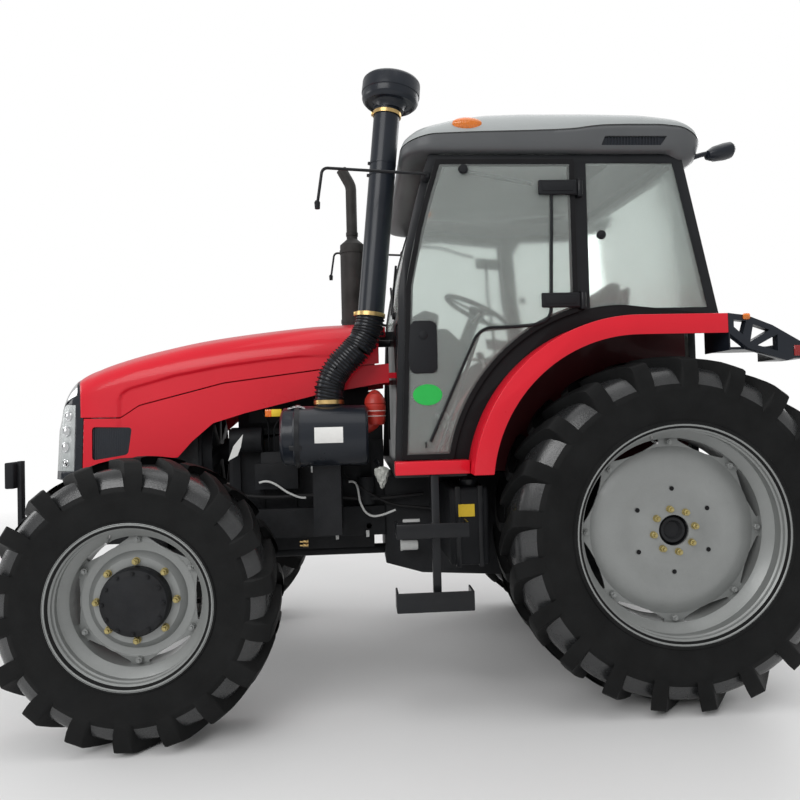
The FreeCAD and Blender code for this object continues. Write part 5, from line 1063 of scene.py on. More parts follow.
def make_side_panel():
    ticks = []
    for here, there in zip(ARCH, ARCH[1:]):
        pieces = max(1, round((there[0] - here[0]) / 16))
        ticks += [here[0] + (there[0] - here[0]) * number / pieces for number in range(pieces)]
    ticks.append(ARCH[-1][0])
    count = 18

    def place(u, v):
        ahead = ticks[round(u * (len(ticks) - 1))]
        top, low = straight(SEAM, ahead) - 6, straight(ARCH, ahead)
        up = top + (low - top) * v
        crown, crown_out, crown_up, side_out, side_up, foot_out = eased(HOOD, ahead)
        out = side_out + (foot_out - side_out) * (side_up - up) / (side_up - 1100)
        return spot(ahead, out - crease_depth(ahead, up) * 0.8 - 1.5, up)

    panel = turned_out(grid("hood_panel", len(ticks) - 1, count, place), (0, 1, 0))
    thickened(panel, 0.004)
    hole = side_prism("panel_hole", [(2859, 1372), (2649, 1365), (2668, 1224), (2855, 1197)], 200, 500)
    pick(hole, lambda a, b: abs(a.y - b.y) > 0.1, "EDGE")
    bpy.ops.mesh.bevel(offset=0.018, segments=4, affect="EDGES")
    done()
    modify(panel, "BOOLEAN", object=hole, operation="DIFFERENCE", solver="EXACT")
    deleted(hole)
    stay = slab("panel_stay", (2340, 250, 1385), (2390, 356, 1410), 0.003)
    rear_stay = slab("panel_rear_stay", (1258, 384, 1590), (1390, 394, 1620), 0.003)
    panel = joined("hood_panel", panel, stay, rear_stay)
    coat(panel, "red paint")
    return smooth(panel, 40)


def nose_point(ahead, part, lift):
    """A place on the nose's skin: part runs from the middle (0) down the side (1)."""
    rows = hood_rows(ahead, 1110)
    index = part * (len(rows) - 1)
    low = min(int(index), len(rows) - 2)
    out = rows[low][0] + (rows[low + 1][0] - rows[low][0]) * (index - low)
    up = rows[low][1] + (rows[low + 1][1] - rows[low][1]) * (index - low)
    return out + lift * min(1.0, part * 2), up + lift * max(0.0, 1 - part)


def skin_out(ahead, up):
    """How far out the nose's side stands at a height."""
    crown, crown_out, crown_up, side_out, side_up, foot_out = eased(HOOD, ahead)
    if up < side_up:
        return side_out + (foot_out - side_out) * (side_up - up) / (side_up - 1100)
    return side_out + (crown_out - side_out) * (up - side_up) / (crown_up - side_up)


class TRACTOR_OT_hood(bpy.types.Operator):
    """Model the hood's top, its side panels, the nose, the crest, the headlamps and the grilles"""
    bl_idname = "tractor.hood"
    bl_label = "Hood and nose"

    def execute(self, context):
        top = make_hood_top()
        nose = copied("hood", "nose")
        bpy.ops.mesh.bisect(plane_co=spot(RED_FRONT + 1, 0, 1500), plane_no=(1, 0, 0), use_fill=False,
            clear_inner=True)
        done()
        nose.data.transform(Matrix.Translation((0, 0, -0.0012)))
        edit(nose)
        bpy.ops.mesh.subdivide(number_cuts=2)
        done()
        coat(lifted(nose), "black plastic")
        smooth(nose, 44)
        crest = []
        for side in (1, -1):
            def place(u, v, side=side):
                part = 0.46 * v
                start = RED_FRONT + 96 * max(0.0, 1 - (nose_point(2990, part, 0)[0] / 345) ** 2) + 3
                ahead = start + (3070 - start) * u
                out, up = nose_point(ahead, part * (1 - 0.2 * u), 2.5)
                return spot(ahead + 1.0, side * out, up)
            half = turned_out(grid(f"crest_{side}", 14, 22, place), (1, 0, 1))
            crest.append(thickened(half, 0.004))
        crest = outward(joined("nose_crest", *crest), 0.0003)
        coat(lifted(crest), "chrome")
        smooth(crest, 50)
        hood = joined("hood_dressed", top, nose, crest)
        ready(hood, "hood", "red_panel", "hood")
        panel = make_side_panel()
        both = joined("hood_side_panels_dressed", panel, mirrored("hood_panel_b", panel))
        ready(both, "chassis", "red_panel", "hood_side_panels")
        dressed("grille", "matte plastic", 0.0015)
        parts = []
        for side in (1, -1):
            def flat(u, v, side=side):
                ahead, up = 2868 - 226 * u, 1186 + 194 * v
                return spot(ahead, side * (skin_out(ahead, up) - 12 + 1.5 * (round(u * 60) % 3 == 0)), up)
            sheet = turned_out(grid(f"side_grille_{side}", 60, 6, flat), (0, side, 0))
            parts.append(thickened(sheet, 0.003))
        grilles = joined("side_grilles_dressed", *parts)
        coat(grilles, "black plastic")
        smooth(grilles, 30)
        ready(grilles, BODY_OF["side_grilles"], SLOT_OF["side_grilles"], "side_grilles")
        lamps = dressed("headlamps", "lamp body", 0.004)
        edit(lamps)
        bpy.ops.mesh.subdivide(number_cuts=1)
        done()
        lifted(lamps)
        bulbs = []
        for number, (ahead, up, radius) in enumerate(((2996, 1432, 0.024), (3006, 1352, 0.026), (3010, 1268, 0.026),
                                                      (3004, 1186, 0.020))):
            bowl = lathe(f"bowl_{number}", "z", ZERO, [(-0.004, radius), (0.003, radius), (0.004, radius * 0.9),
                (0.001, radius * 0.8), (0.002, radius * 0.4), (0.005, 0.0)], 32)
            slope = (skin_out(ahead + 12, up) - skin_out(ahead - 12, up)) / 24
            turn = Vector((-slope, 1, 0)).to_track_quat("Z", "Y").to_matrix().to_4x4()
            bowl.data.transform(Matrix.Translation(spot(ahead, skin_out(ahead, up) + 1, up)) @ turn)
            bulbs.append(bowl)
        bulbs = joined("headlamp_bowls", *bulbs)
        extra("headlamp_bowls_pair", "chrome", "lamp_glass", bulbs, mirrored("bowls_b", bulbs), body="hood")
        return {"FINISHED"}


# Roof

# columns: ahead, height
ROOF_SEAM = ((-282, 2716), (-243, 2731), (-146, 2766), (-38, 2777), (125, 2777), (254, 2774), (318, 2767),
             (393, 2756), (500, 2750), (658, 2745), (869, 2740), (1077, 2731), (1150, 2720), (1228, 2705))
ROOF_CROWN = ((-282, 2716), (-276, 2740), (-243, 2776), (-113, 2820), (51, 2840), (323, 2846), (646, 2845),
              (827, 2838), (965, 2818), (1145, 2773), (1212, 2738), (1228, 2705))
# columns: distance in from the side, share of the rise
ROOF_EDGE = ((0, 0.0), (2, 0.22), (6, 0.42), (14, 0.62), (28, 0.82), (50, 1.0), (800, 1.0))


def roof_half(ahead):
    """The roof's half width, narrowing round its corners."""
    near = min(ahead + 282, 1228 - ahead)
    return 800 - (0 if near > 150 else 150 - math.sqrt(max(0.0, 150 ** 2 - (150 - near) ** 2)))


def make_roof():
    """The roof's crown above a curved seam, over a darker shell with its air intakes."""
    ends = [0.0, 0.002, 0.006, 0.012, 0.022, 0.036, 0.055, 0.08]
    along = ends + [0.08 + 0.84 * number / 44 for number in range(1, 44)] + [1 - share for share in reversed(ends)]
    sides = [0.0, 0.001, 0.0025, 0.005, 0.009, 0.014, 0.02, 0.03, 0.045]
    across = (sides + [0.045 + 0.91 * number / 30 for number in range(1, 30)]
              + [1 - share for share in reversed(sides)])

    def crown(u, v):
        ahead = -282 + 1510 * along[round(u * (len(along) - 1))]
        half = roof_half(ahead)
        out = half * (2 * across[round(v * (len(across) - 1))] - 1)
        foot = straight(ROOF_SEAM, ahead)
        rise = max(0.0, straight(ROOF_CROWN, ahead) - foot)
        inward = half - abs(out)
        swell = 88 * max(0.0, 1 - (out / 750) ** 2) * min(1.0, rise / 90)
        return spot(ahead, out, foot + rise * straight(ROOF_EDGE, inward) + swell * min(1.0, inward / 50))

    top = turned_out(grid("roof_crown", len(along) - 1, len(across) - 1, crown), (0, 0, 1))
    modify(top, "SUBSURF", levels=1)
    coat(top, "roof grey")
    aheads = [-282 + 1510 * share for share in along[1:-1]]
    outline = ([(ahead, roof_half(ahead)) for ahead in aheads] + [(1228, 650 - 1300 * number / 12)
        for number in range(13)] + [(ahead, -roof_half(ahead)) for ahead in reversed(aheads)] + [(-282, -650 + 1300
        * number / 12) for number in range(13)])
    # columns: how far in, share of the way from the seam to the lip, further in at the rear
    rows = ((3, 0.0, 0), (5, 0.03, 0), (1, 0.06, 0), (0, 0.20, 0), (0, 0.60, 8), (2, 0.80, 22), (7, 0.95, 45),
        (20, 1.04, 62), (60, 1.08, 70), (110, 0.98, 80), (240, 0.95, 120))

    def shell(u, v):
        ahead, out = outline[round(u * len(outline)) % len(outline)]
        inset, share, rear = rows[round(v * (len(rows) - 1))]
        seam = straight(ROOF_SEAM, ahead) - 2
        lip = 2654 - 40 * step((-120 - ahead) / 110) * (0.75 < share)
        if 0.90 < share < 1.0 and inset > 100:
            seam, lip = 2750, 2664
        far = max(0.0, min(1.0, (-ahead - 60) / 200))
        nearer = 1 - (inset + rear * far) / 700
        return spot(473 + (ahead - 473) * nearer, out * (1 - inset / 800), seam + (lip - seam) * share)

    low = grid("roof_shell", len(outline), len(rows) - 1, shell)
    outward(low, 0.0001)
    coat(low, "roof underside")
    smooth(low, 50)
    smooth(top, 50)
    vents = []
    for side in (1, -1):
        ends_of = sorted((side * 786, side * 812))
        hole = side_prism("vent_hole", [(-36, 2674), (262, 2674), (243, 2718), (-66, 2718)], *ends_of, 0.004, 2)
        modify(low, "BOOLEAN", object=hole, operation="DIFFERENCE", solver="FAST")
        deleted(hole)
        vents.append(side_prism(f"vent_{side}", [(-40, 2670), (266, 2670), (247, 2722), (-70, 2722)],
            *sorted((side * 784, side * 788)), 0.001, 1))
        bar = slab(f"vent_bar_{side}", (-30, sorted((side * 787, side * 794))[0], 2676),
            (-24, sorted((side * 787, side * 794))[1], 2716), 0.001, 1)
        for number in range(1, 17):
            vents.append(moved(f"vent_bar_{side}_{number}", bar, (0.0155 * number, 0, 0)))
        vents.append(bar)
    paint_faces(low, "black plastic", lambda place, normal: normal.x > 0.80 and abs(place.y) < 0.60)
    roof = joined("cab_roof_dressed", top, low)
    ready(roof, "chassis", SLOT_OF["cab_roof"], "cab_roof")
    extra("roof_vents", "black plastic", "black_plastic", *vents)


class TRACTOR_OT_roof(bpy.types.Operator):
    """Dress the roof with its two greys and add its vents, marker lights and work lamps"""
    bl_idname = "tractor.roof"
    bl_label = "Roof"

    def execute(self, context):
        make_roof()
        lens = lathe("roof_marker", "y", ZERO, [(-0.010, 0.0), (-0.010, 0.5), (0.004, 0.5), (0.012, 0.42),
            (0.020, 0.26), (0.024, 0.0)], 40)
        lens.scale = (0.142, 0.9, 0.056)
        settle(lens)
        lens.data.transform(Matrix.Translation(spot(914, 792, 2780)))
        extra("roof_markers", "amber lens", "black_plastic", lens, mirrored("roof_marker_b", lens))
        body = lathe("work_lamp", "x", ZERO, [(-0.060, 0.0), (-0.060, 0.040), (-0.054, 0.045), (-0.030, 0.046),
            (0.020, 0.040), (0.050, 0.024), (0.062, 0.0)], 40)
        body.scale = (1.1, 1.2, 0.9)
        settle(body)
        body.data.transform(Matrix.Translation(spot(-372, 700, 2672)) @ Matrix.Rotation(math.radians(12), 4, "Y"))
        arm = pipe("work_lamp_arm", [(-330, 700, 2672), (-270, 700, 2660), (-225, 700, 2640)], 0.012, 0.03)
        coat(body, "black plastic")
        lamp = joined("work_lamps_dressed", body, arm)
        coat(lamp, "black plastic")
        smooth(lamp, 35)
        lamps = joined("work_lamps_dressed", lamp, mirrored("work_lamp_b", lamp))
        ready(lamps, "chassis", SLOT_OF["work_lamps"], "work_lamps")
        lens = lathe("work_lens", "x", ZERO, [(0.0, 0.0), (-0.003, 0.020), (-0.002, 0.036), (0.004, 0.040),
            (0.004, 0.0)], 32)
        lens.scale = (1.1, 1.2, 0.9)
        settle(lens)
        lens.data.transform(Matrix.Translation(spot(-439, 700, 2687)) @ Matrix.Rotation(math.radians(12), 4, "Y"))
        extra("work_lamp_lenses", "lamp body", "black_plastic", lens, mirrored("work_lens_b", lens))
        return {"FINISHED"}


# Cab: posts, panels, glass and its printed borders

def glass_band(node, width, body):
    """The printed black edge of a pane, inset from its outer face."""
    band = copied(node, f"{node}_band")
    side = 1 if middle(node).y >= 0 else -1
    pick(band, lambda place, normal: normal.y * side < 0.6, "FACE")
    bpy.ops.mesh.delete(type="FACE")
    bpy.ops.mesh.select_all(action="SELECT")
    bpy.ops.mesh.dissolve_limited(angle_limit=math.radians(2))
    bpy.ops.mesh.select_mode(type="FACE")
    bpy.ops.mesh.select_all(action="SELECT")
    bpy.ops.mesh.inset(thickness=width / 1000, depth=0)
    bpy.ops.mesh.delete(type="FACE")
    done()
    band.data.transform(Matrix.Translation((0, side * 0.0008, 0)))
    thickened(band, 0.0012, 0)
    coat(band, "seal rubber")
    return ready(band, body, "glass")


class TRACTOR_OT_cab(bpy.types.Operator):
    """Dress the cab's posts, glass, floor and walls and add the quarter glass knobs, the mirror mounts and the wiper
    """
    bl_idname = "tractor.cab"
    bl_label = "Cab and glass"

    def execute(self, context):
        dressed("cab_frame", "black steel", 0.004)
        for node in ("front_glass", "quarter_glass", "rear_glass"):
            dressed(node, "cab glass", 0.0008)
        dressed("cab_floor", "floor mat", 0.003)
        front = dressed("cab_front_wall", "black steel", 0.003)
        paint_faces(front, "inner grey", lambda place, normal: normal.x < -0.7)
        rear = dressed("cab_rear_wall", "black steel", 0.003)
        paint_faces(rear, "inner grey", lambda place, normal: normal.x > 0.7)
        dressed("mirror_rods", "black steel", 0.0)
        stem = pipe("knob_stem", [(322, 750, 2240), (322, 772, 2240)], 0.006)
        ball = lathe("knob_ball", "y", (318, 772, 2240), [(-0.004, 0.0), (0.0, 0.014), (0.008, 0.021),
            (0.018, 0.023), (0.028, 0.019), (0.034, 0.010), (0.036, 0.0)], 28)
        knob = joined("quarter_knob", stem, ball)
        knob.data.transform(Matrix.Translation(Vector((-0.045, 0, 0))))
        extra("quarter_knobs", "matte plastic", "black_steel", knob, mirrored("quarter_knob_b", knob))
        ball_joint = lathe("mirror_boot", "y", (1115, 760, 2532), [(0.0, 0.0), (0.0, 0.024), (0.006, 0.026),
            (0.020, 0.018), (0.034, 0.012), (0.036, 0.0)], 24)
        clamp = lathe("mirror_clamp", "z", (1633, 820, 2384), [(-0.020, 0.0), (-0.020, 0.012), (0.010, 0.014),
            (0.018, 0.009), (0.018, 0.0)], 20)
        mounts = joined("mirror_mounts_half", ball_joint, clamp)
        extra("mirror_mounts", "matte plastic", "black_steel", mounts, mirrored("mirror_mounts_b", mounts))
        wiper = [pipe("wiper_arm", [(1262, 300, 1935), (1262, 120, 2120)], 0.006),
            pipe("wiper_blade", [(1258, 60, 1975), (1232, 165, 2240)], 0.007)]
        pivot = lathe("wiper_pivot", "x", (1250, 300, 1935), [(0.0, 0.0), (0.0, 0.022), (0.018, 0.020),
            (0.022, 0.0)], 20)
        extra("wiper", "black steel", "black_steel", *wiper, pivot)
        return {"FINISHED"}


class TRACTOR_OT_doors(bpy.types.Operator):
    """Dress the doors and add the hinge covers, lock parts, gas strut and sticker"""
    bl_idname = "tractor.doors"
    bl_label = "Doors"

    def execute(self, context):
        for side in ("left", "right"):
            dressed(f"door_{side}", "black steel", 0.003)
            dressed(f"door_glass_{side}", "cab glass", 0.0008)
            glass_band(f"door_glass_{side}", 24, f"door_{side}")
        covers = []
        for number, up in enumerate((2470, 1925)):
            cover = slab(f"hinge_cover_{number}", (392, 786, up - 36), (578, 802, up + 36), 0.016, 4)
            rib = slab(f"hinge_rib_{number}", (410, 800, up - 20), (560, 805, up + 20), 0.002)
            covers += [cover, rib]
        knob = lathe("strut_knob", "y", (938, 780, 2560), [(0.0, 0.0), (0.0, 0.020), (0.010, 0.024), (0.022, 0.020),
            (0.026, 0.0)], 24)
        lock = side_prism("lock_cover", [(1084, 1608), (1104, 1588), (1196, 1588), (1216, 1606), (1224, 1660),
            (1212, 1816), (1192, 1838), (1106, 1838), (1084, 1818)], 776, 786, 0.004)
        stem = pipe("frame_tube", [(510, 786, 2471), (528, 786, 1876), (554, 786, 1828), (628, 786, 1805),
            (848, 786, 1799), (898, 786, 1762), (1128, 786, 1264)], 0.007, 0.02)
        grip = pipe("lock_grip", [(1122, 732, 1650), (1122, 712, 1662), (1122, 712, 1770), (1122, 732, 1782)], 0.009,
            0.016)
        barrel = lathe("lock_barrel", "y", (1150, 781, 1770), [(0.0, 0.0), (0.0, 0.020), (0.006, 0.022),
            (0.012, 0.014), (0.014, 0.0)], 24)
        strut = pipe("gas_strut", [(928, 758, 2560), (600, 752, 2500)], 0.009)
        black = joined("door_fittings", *covers, knob, lock, grip, barrel, strut, stem)
        other = mirrored("door_fittings_b", black)
        extra("door_fittings_left", "matte plastic", "black_steel", black, body="door_left")
        extra("door_fittings_right", "matte plastic", "black_steel", other, body="door_right")
        fresh()
        bpy.ops.mesh.primitive_cylinder_add(vertices=48, radius=0.5, depth=0.0012, rotation=(math.pi / 2, 0, 0),
            location=spot(1136, 781.0, 1486), scale=(0.140, 0.100, 1))
        sticker = settle(named("door_sticker"))
        rounded(sticker, 0.0004, 1)
        extra("door_sticker", "green label", "glass", sticker, body="door_left")
        return {"FINISHED"}


# Cab inside

class TRACTOR_OT_inside(bpy.types.Operator):
    """Model the steering wheel, console fittings, levers, pedals and inner covers"""
    bl_idname = "tractor.inside"
    bl_label = "Cab inside"

    def execute(self, context):
        dressed("dash_console", "matte plastic", 0.012)
        centre = spot(750, 0, 2006)
        tilt = Matrix.Translation(centre) @ Matrix.Rotation(math.radians(-25), 4, "Y")
        fresh()
        bpy.ops.mesh.primitive_torus_add(major_radius=0.178, minor_radius=0.0145, major_segments=72,
            minor_segments=16)
        ring = named("wheel_ring")
        hub = lathe("wheel_hub", "z", ZERO, [(-0.030, 0.0), (-0.030, 0.036), (0.002, 0.048), (0.012, 0.046),
            (0.016, 0.036), (0.018, 0.0)], 32)
        spoke = slab("wheel_spoke", Vector((0.030, -0.017, -0.007)), Vector((0.172, 0.017, 0.003)), 0.004, 3)
        ring_of(spoke, 3, "z", ZERO)
        wheel = joined("steering_wheel_dressed", ring, hub, spoke)
        wheel.data.transform(tilt)
        coat(wheel, "matte plastic")
        smooth(wheel, 40)
        ready(wheel, "steering_wheel", "black_plastic", "steering_wheel")
        # columns: name, foot, top, knob radius
        levers = (("shift", (620, -330, 1500), (700, -345, 1790), 0.026),
            ("range", (520, -330, 1500), (560, -350, 1730), 0.024), ("throttle", (430, -330, 1500),
            (490, -345, 1690), 0.020), ("shuttle", (800, 90, 1930), (760, 210, 1975), 0.016))
        rods, knobs = [], []
        for name, foot, top, radius in levers:
            rods.append(pipe(f"{name}_rod", [foot, top], 0.007))
            knobs.append(lathe(f"{name}_knob", "z", top, [(-radius, 0.0), (-radius * 0.7, radius * 0.7),
                (0.0, radius), (radius * 0.7, radius * 0.75), (radius, 0.0)], 24))
        stand = side_prism("side_console", [(250, 1176), (760, 1176), (760, 1440), (680, 1500), (250, 1500)], -420,
            -280, 0.015, 3)
        for number, out in enumerate((-140, 90, 160)):
            rods.append(pipe(f"pedal_rod_{number}", [(1000, out, 1420), (920, out, 1260)], 0.008))
            knobs.append(slab(f"pedal_{number}", (896, out - 32, 1228), (916, out + 32, 1288), 0.004))
        extra("levers", "bare steel", "bare_steel", *rods)
        extra("lever_knobs", "matte plastic", "black_plastic", *knobs, stand)
        hood = side_prism("instrument_hood", [(1000, 1868), (1150, 1868), (1150, 1935), (1060, 1985), (985, 1960)],
            -170, 170, 0.018, 3)
        extra("instrument_hood", "matte plastic", "black_plastic", hood)
        centre_x, centre_z = 170, 1040
        outline = [(centre_x + 770 * math.cos(angle), centre_z + 770 * math.sin(angle))
            for angle in [math.radians(6 + 84 * number / 20) for number in range(21)]]
        outline += [(-245, 1810), (-245, 1118), (935, 1118)]
        cover = side_prism("inner_cover", outline, 528, 533, 0.002)
        # a low strip inboard of each inner cover, in red paint darkened as painted shade
        pad = side_prism("inner_cover_low", [(-240, 1120), (930, 1120), (900, 1290), (-240, 1290)], 525, 528, 0.001)
        extra("inner_covers", "inner grey", "black_steel", cover, mirrored("inner_cover_b", cover))
        extra("inner_cover_lows", "red paint in painted shade", "red_paint", pad, mirrored("inner_low_b", pad))
        return {"FINISHED"}


# Seat, swelled as cloth

def stuffed(name, piece, travel, rest_z=None):
    """Swell a closed form as padded cloth, with a cap on how far each point moves."""
    modify(piece, "REMESH", mode="VOXEL", voxel_size=0.006)
    start = [point.co.copy() for point in piece.data.vertices]
    choose(piece)
    cloth = piece.modifiers.new("Cloth", "CLOTH")
    cloth.settings.use_pressure = True
    cloth.settings.uniform_pressure_force = 4.0
    cloth.settings.effector_weights.gravity = 0.0
    cloth.point_cache.frame_start = 1
    cloth.point_cache.frame_end = 20
    scene = bpy.context.scene
    for number in range(1, 21):
        scene.frame_set(number)
    swelled = piece.evaluated_get(bpy.context.evaluated_depsgraph_get()).data
    ends = [point.co.copy() for point in swelled.vertices]
    piece.modifiers.remove(cloth)
    scene.frame_set(1)
    for point, old, new in zip(piece.data.vertices, start, ends):
        way = new - old
        if way.length > travel:
            way *= travel / way.length
        point.co = old + way
        if rest_z is not None and point.co.z < rest_z:
            point.co.z = rest_z
    return smooth(piece, 60)


class TRACTOR_OT_seat(bpy.types.Operator):
    """Model the seat's cushions as padded cloth, with their shell, springing and arm rests"""
    bl_idname = "tractor.seat"
    bl_label = "Seat"

    def execute(self, context):
        travel = sizes("body").cushion_travel
        cushion = slab("seat_cushion", (62, -226, 1522), (518, 226, 1606), 0.034, 4)
        back = side_prism("seat_backrest", [(-46, 1652), (60, 1652), (-6, 2156), (-80, 2156)], -206, 206, 0.030, 4)
        stuffed("seat_cushion", cushion, travel, spot(0, 0, 1502).z)
        stuffed("seat_backrest", back, travel * 0.8)
        for piece in (cushion, back):
            for point in piece.data.vertices:
                for groove in (-0.115, 0.115):
                    point.co.x -= 0.006 * math.exp(-((point.co.y - groove) / 0.009) ** 2) * (piece is back)
                    point.co.z -= (0.006 * math.exp(-((point.co.y - groove) / 0.009) ** 2)
                        * (piece is cushion and point.co.z > spot(0, 0, 1560).z))
            coat(piece, "seat cloth")
        ready(cushion, "chassis", "seat_fabric", "seat")
        ready(back, "chassis", "seat_fabric")
        dressed("seat_base", "matte plastic", 0.006)
        shell = side_prism("seat_shell", [(-78, 1500), (-62, 1500), (-108, 2120), (-122, 2110)], -200, 200, 0.006, 3)
        arms = [slab(f"arm_rest_{side}", (60, min(side * 240, side * 290), 1740),
            (330, max(side * 240, side * 290), 1786), 0.018, 4) for side in (1, -1)]
        posts = [pipe(f"arm_post_{side}", [(-80, side * 262, 1700), (-60, side * 262, 1762), (80, side * 262, 1762)],
            0.012, 0.03) for side in (1, -1)]
        extra("seat_shell", "matte plastic", "black_plastic", shell, *arms, *posts)
        return {"FINISHED"}


# Air cleaner, intake and exhaust

HOSE = ((1391, 520, 1915), (1400, 520, 1850), (1432, 520, 1775), (1490, 520, 1712), (1548, 520, 1660),
        (1590, 520, 1600), (1611, 520, 1535), (1614, 520, 1432))


class TRACTOR_OT_intake(bpy.types.Operator):
    """Dress the air cleaner, the ribbed hose and the elbow and add clamps, the label and the latch"""
    bl_idname = "tractor.intake"
    bl_label = "Air intake"

    def execute(self, context):
        cleaner = dressed("air_cleaner", "black plastic", 0.002)
        paint_faces(cleaner, "cast black", lambda place, normal: place.z < 1.146)
        top = lathe("precleaner", "z", ZERO, [(-0.030, 0.0), (-0.030, 0.074), (-0.008, 0.078), (0.004, 0.090),
            (0.006, 0.118), (-0.002, 0.122), (-0.002, 0.128), (0.010, 0.141), (0.020, 0.145), (0.046, 0.146),
            (0.049, 0.150), (0.106, 0.149), (0.114, 0.147), (0.122, 0.140), (0.134, 0.110), (0.146, 0.062), (0.154,
            0.018), (0.155, 0.0)], 64)
        top.rotation_euler = (0, -0.107, 0)
        top.location = spot(1265, 520, 2992)
        settle(top)
        coat(top, "black plastic")
        smooth(top, 40)
        tube = pipe("intake_tube", [(1278, 520, 2975), (1390, 520, 1900)], 0.067, 0, 12)
        hose = pipe("intake_hose", [spot(*place) for place in HOSE], 0.069, 0.05, 12, 6)
        coat(joined("intake_pipe", tube, hose), "black plastic")
        smooth(tube, 50)
        # rings of the hose, set along its line
        places = [Vector(spot(*place)) for place in HOSE]
        lengths = [(there - here).length for here, there in zip(places, places[1:])]
        rings = []
        count = sizes("body").hose_turns
        ring = lathe("hose_ring", "z", ZERO, [(-0.005, 0.066), (-0.003, 0.0745), (0.0, 0.0765), (0.003, 0.0745),
            (0.005, 0.066), (-0.005, 0.066)], 40)
        for number in range(count):
            far = sum(lengths) * (number + 0.5) / count
            index = 0
            while far > lengths[index]:
                far -= lengths[index]
                index += 1
            middle_of = places[index].lerp(places[index + 1], far / lengths[index])
            before = (places[index] - places[max(index - 1, 0)]).normalized() if index else (places[1]
                - places[0]).normalized()
            after = (places[min(index + 2, len(places) - 1)] - places[index]).normalized()
            way = before.lerp(after, far / lengths[index])
            one = moved(f"hose_ring_{number}", ring, (0, 0, 0))
            one.data.transform(Matrix.Translation(middle_of) @ way.to_track_quat("Z", "Y").to_matrix().to_4x4())
            rings.append(one)
        deleted(ring)
        rings = joined("intake_rings", *rings)
        coat(rings, "hose rubber")
        smooth(rings, 60)
        intake = joined("air_intake_finished", top, tube, rings)
        ready(intake, BODY_OF["air_intake"], SLOT_OF["air_intake"], "air_intake")
        bellows = lathe("elbow_bellows", "z", (1380, 525, 1345), [(0.0, 0.030), (0.004, 0.044), (0.020, 0.050),
            (0.050, 0.053), (0.056, 0.050), (0.062, 0.054), (0.100, 0.055), (0.106, 0.051), (0.112, 0.054), (0.135,
            0.050), (0.158, 0.036), (0.166, 0.0)], 48)
        extra("elbow_bellows", "red silicone", SLOT_OF["intake_elbow"], bellows)
        dressed("intake_elbow", "red silicone", 0.002)
        # columns: place, direction, radius, width
        clamps = (((1281, 520, 2940), (-0.107, 0, 0.99), 0.0710, 0.018), ((1393, 520, 1908), (-0.107, 0, 0.99),
            0.0740, 0.020), ((1613, 520, 1468), (0.0, 0, 1.0), 0.0740, 0.020), )
        bands = [band_at(f"hose_band_{number}", place, direction, radius, width) for number,
            (place, direction, radius, width) in enumerate(clamps)]
        rims = [band_at(f"pipe_band_{up}", (1391 - (up - 1900) * 0.1042, 520, up), (-0.104, 0, 0.99), 0.0675, 0.010,
            0.0015) for up in (2621, 2683)]
        extra("hose_bands", "brass", "bare_steel", *bands)
        extra("pipe_bands", "black plastic", "black_plastic", *rims)
        elbow_bands = []
        for number, up in enumerate((1392, 1418, 1444)):
            elbow_bands.append(band_at(f"elbow_band_{number}", (1380, 525, up), (0, 0, 1), 0.0535, 0.003, 0.0012))
        extra("elbow_bands", "white label", "bare_steel", *elbow_bands)
        ring = lathe("canister_ring", "x", (1764, 560, 1300), [(-0.011, 0.153), (-0.011, 0.158), (0.011, 0.158),
            (0.011, 0.153), (-0.011, 0.153)], 64)
        latch = [slab("latch_plate", (1740, 600, 1438), (1800, 624, 1446), 0.002),
            pipe("latch_wire", [(1726, 604, 1440), (1762, 604, 1452), (1812, 604, 1440), (1812, 622, 1436),
            (1762, 622, 1447), (1726, 622, 1436)], 0.0025, 0.006, 4)]
        ring_of(latch[0], 4, "x", (1764, 560, 1300))
        extra("canister_ring", "black steel", "black_steel", ring)
        extra("canister_latch", "bare steel", "bare_steel", latch[1])
        extra("canister_plates", "black steel", "black_steel", latch[0])

        def label_place(u, v):
            angle = math.radians(-12 + 29 * v)
            return spot(1541 + 137 * u, 560 + 151.5 * math.cos(angle), 1300 + 151.5 * math.sin(angle))

        label = turned_out(grid("canister_label", 2, 8, label_place), (0, 1, 0))
        thickened(label, 0.0008)
        extra("canister_label", "white label", "black_plastic", label)
        return {"FINISHED"}


class TRACTOR_OT_exhaust(bpy.types.Operator):
    """Dress the exhaust and add its clamps and the muffler's seams"""
    bl_idname = "tractor.exhaust"
    bl_label = "Exhaust"

    def execute(self, context):
        dressed("exhaust", "exhaust steel", 0.002)
        bands = [band_at(f"exhaust_band_{number}", (1477, -500, up), (0, 0, 1), radius, 0.022) for number,
            (up, radius) in enumerate(((1880, 0.037), (2020, 0.082), (2480, 0.082), (2600, 0.037)))]
        bracket = pipe("muffler_bracket", [(1432, -560, 2020), (1250, -724, 2020)], 0.009, 0, 12)
        extra("exhaust_bands", "exhaust steel", "exhaust_steel", *bands, bracket)
        return {"FINISHED"}


# Engine bay

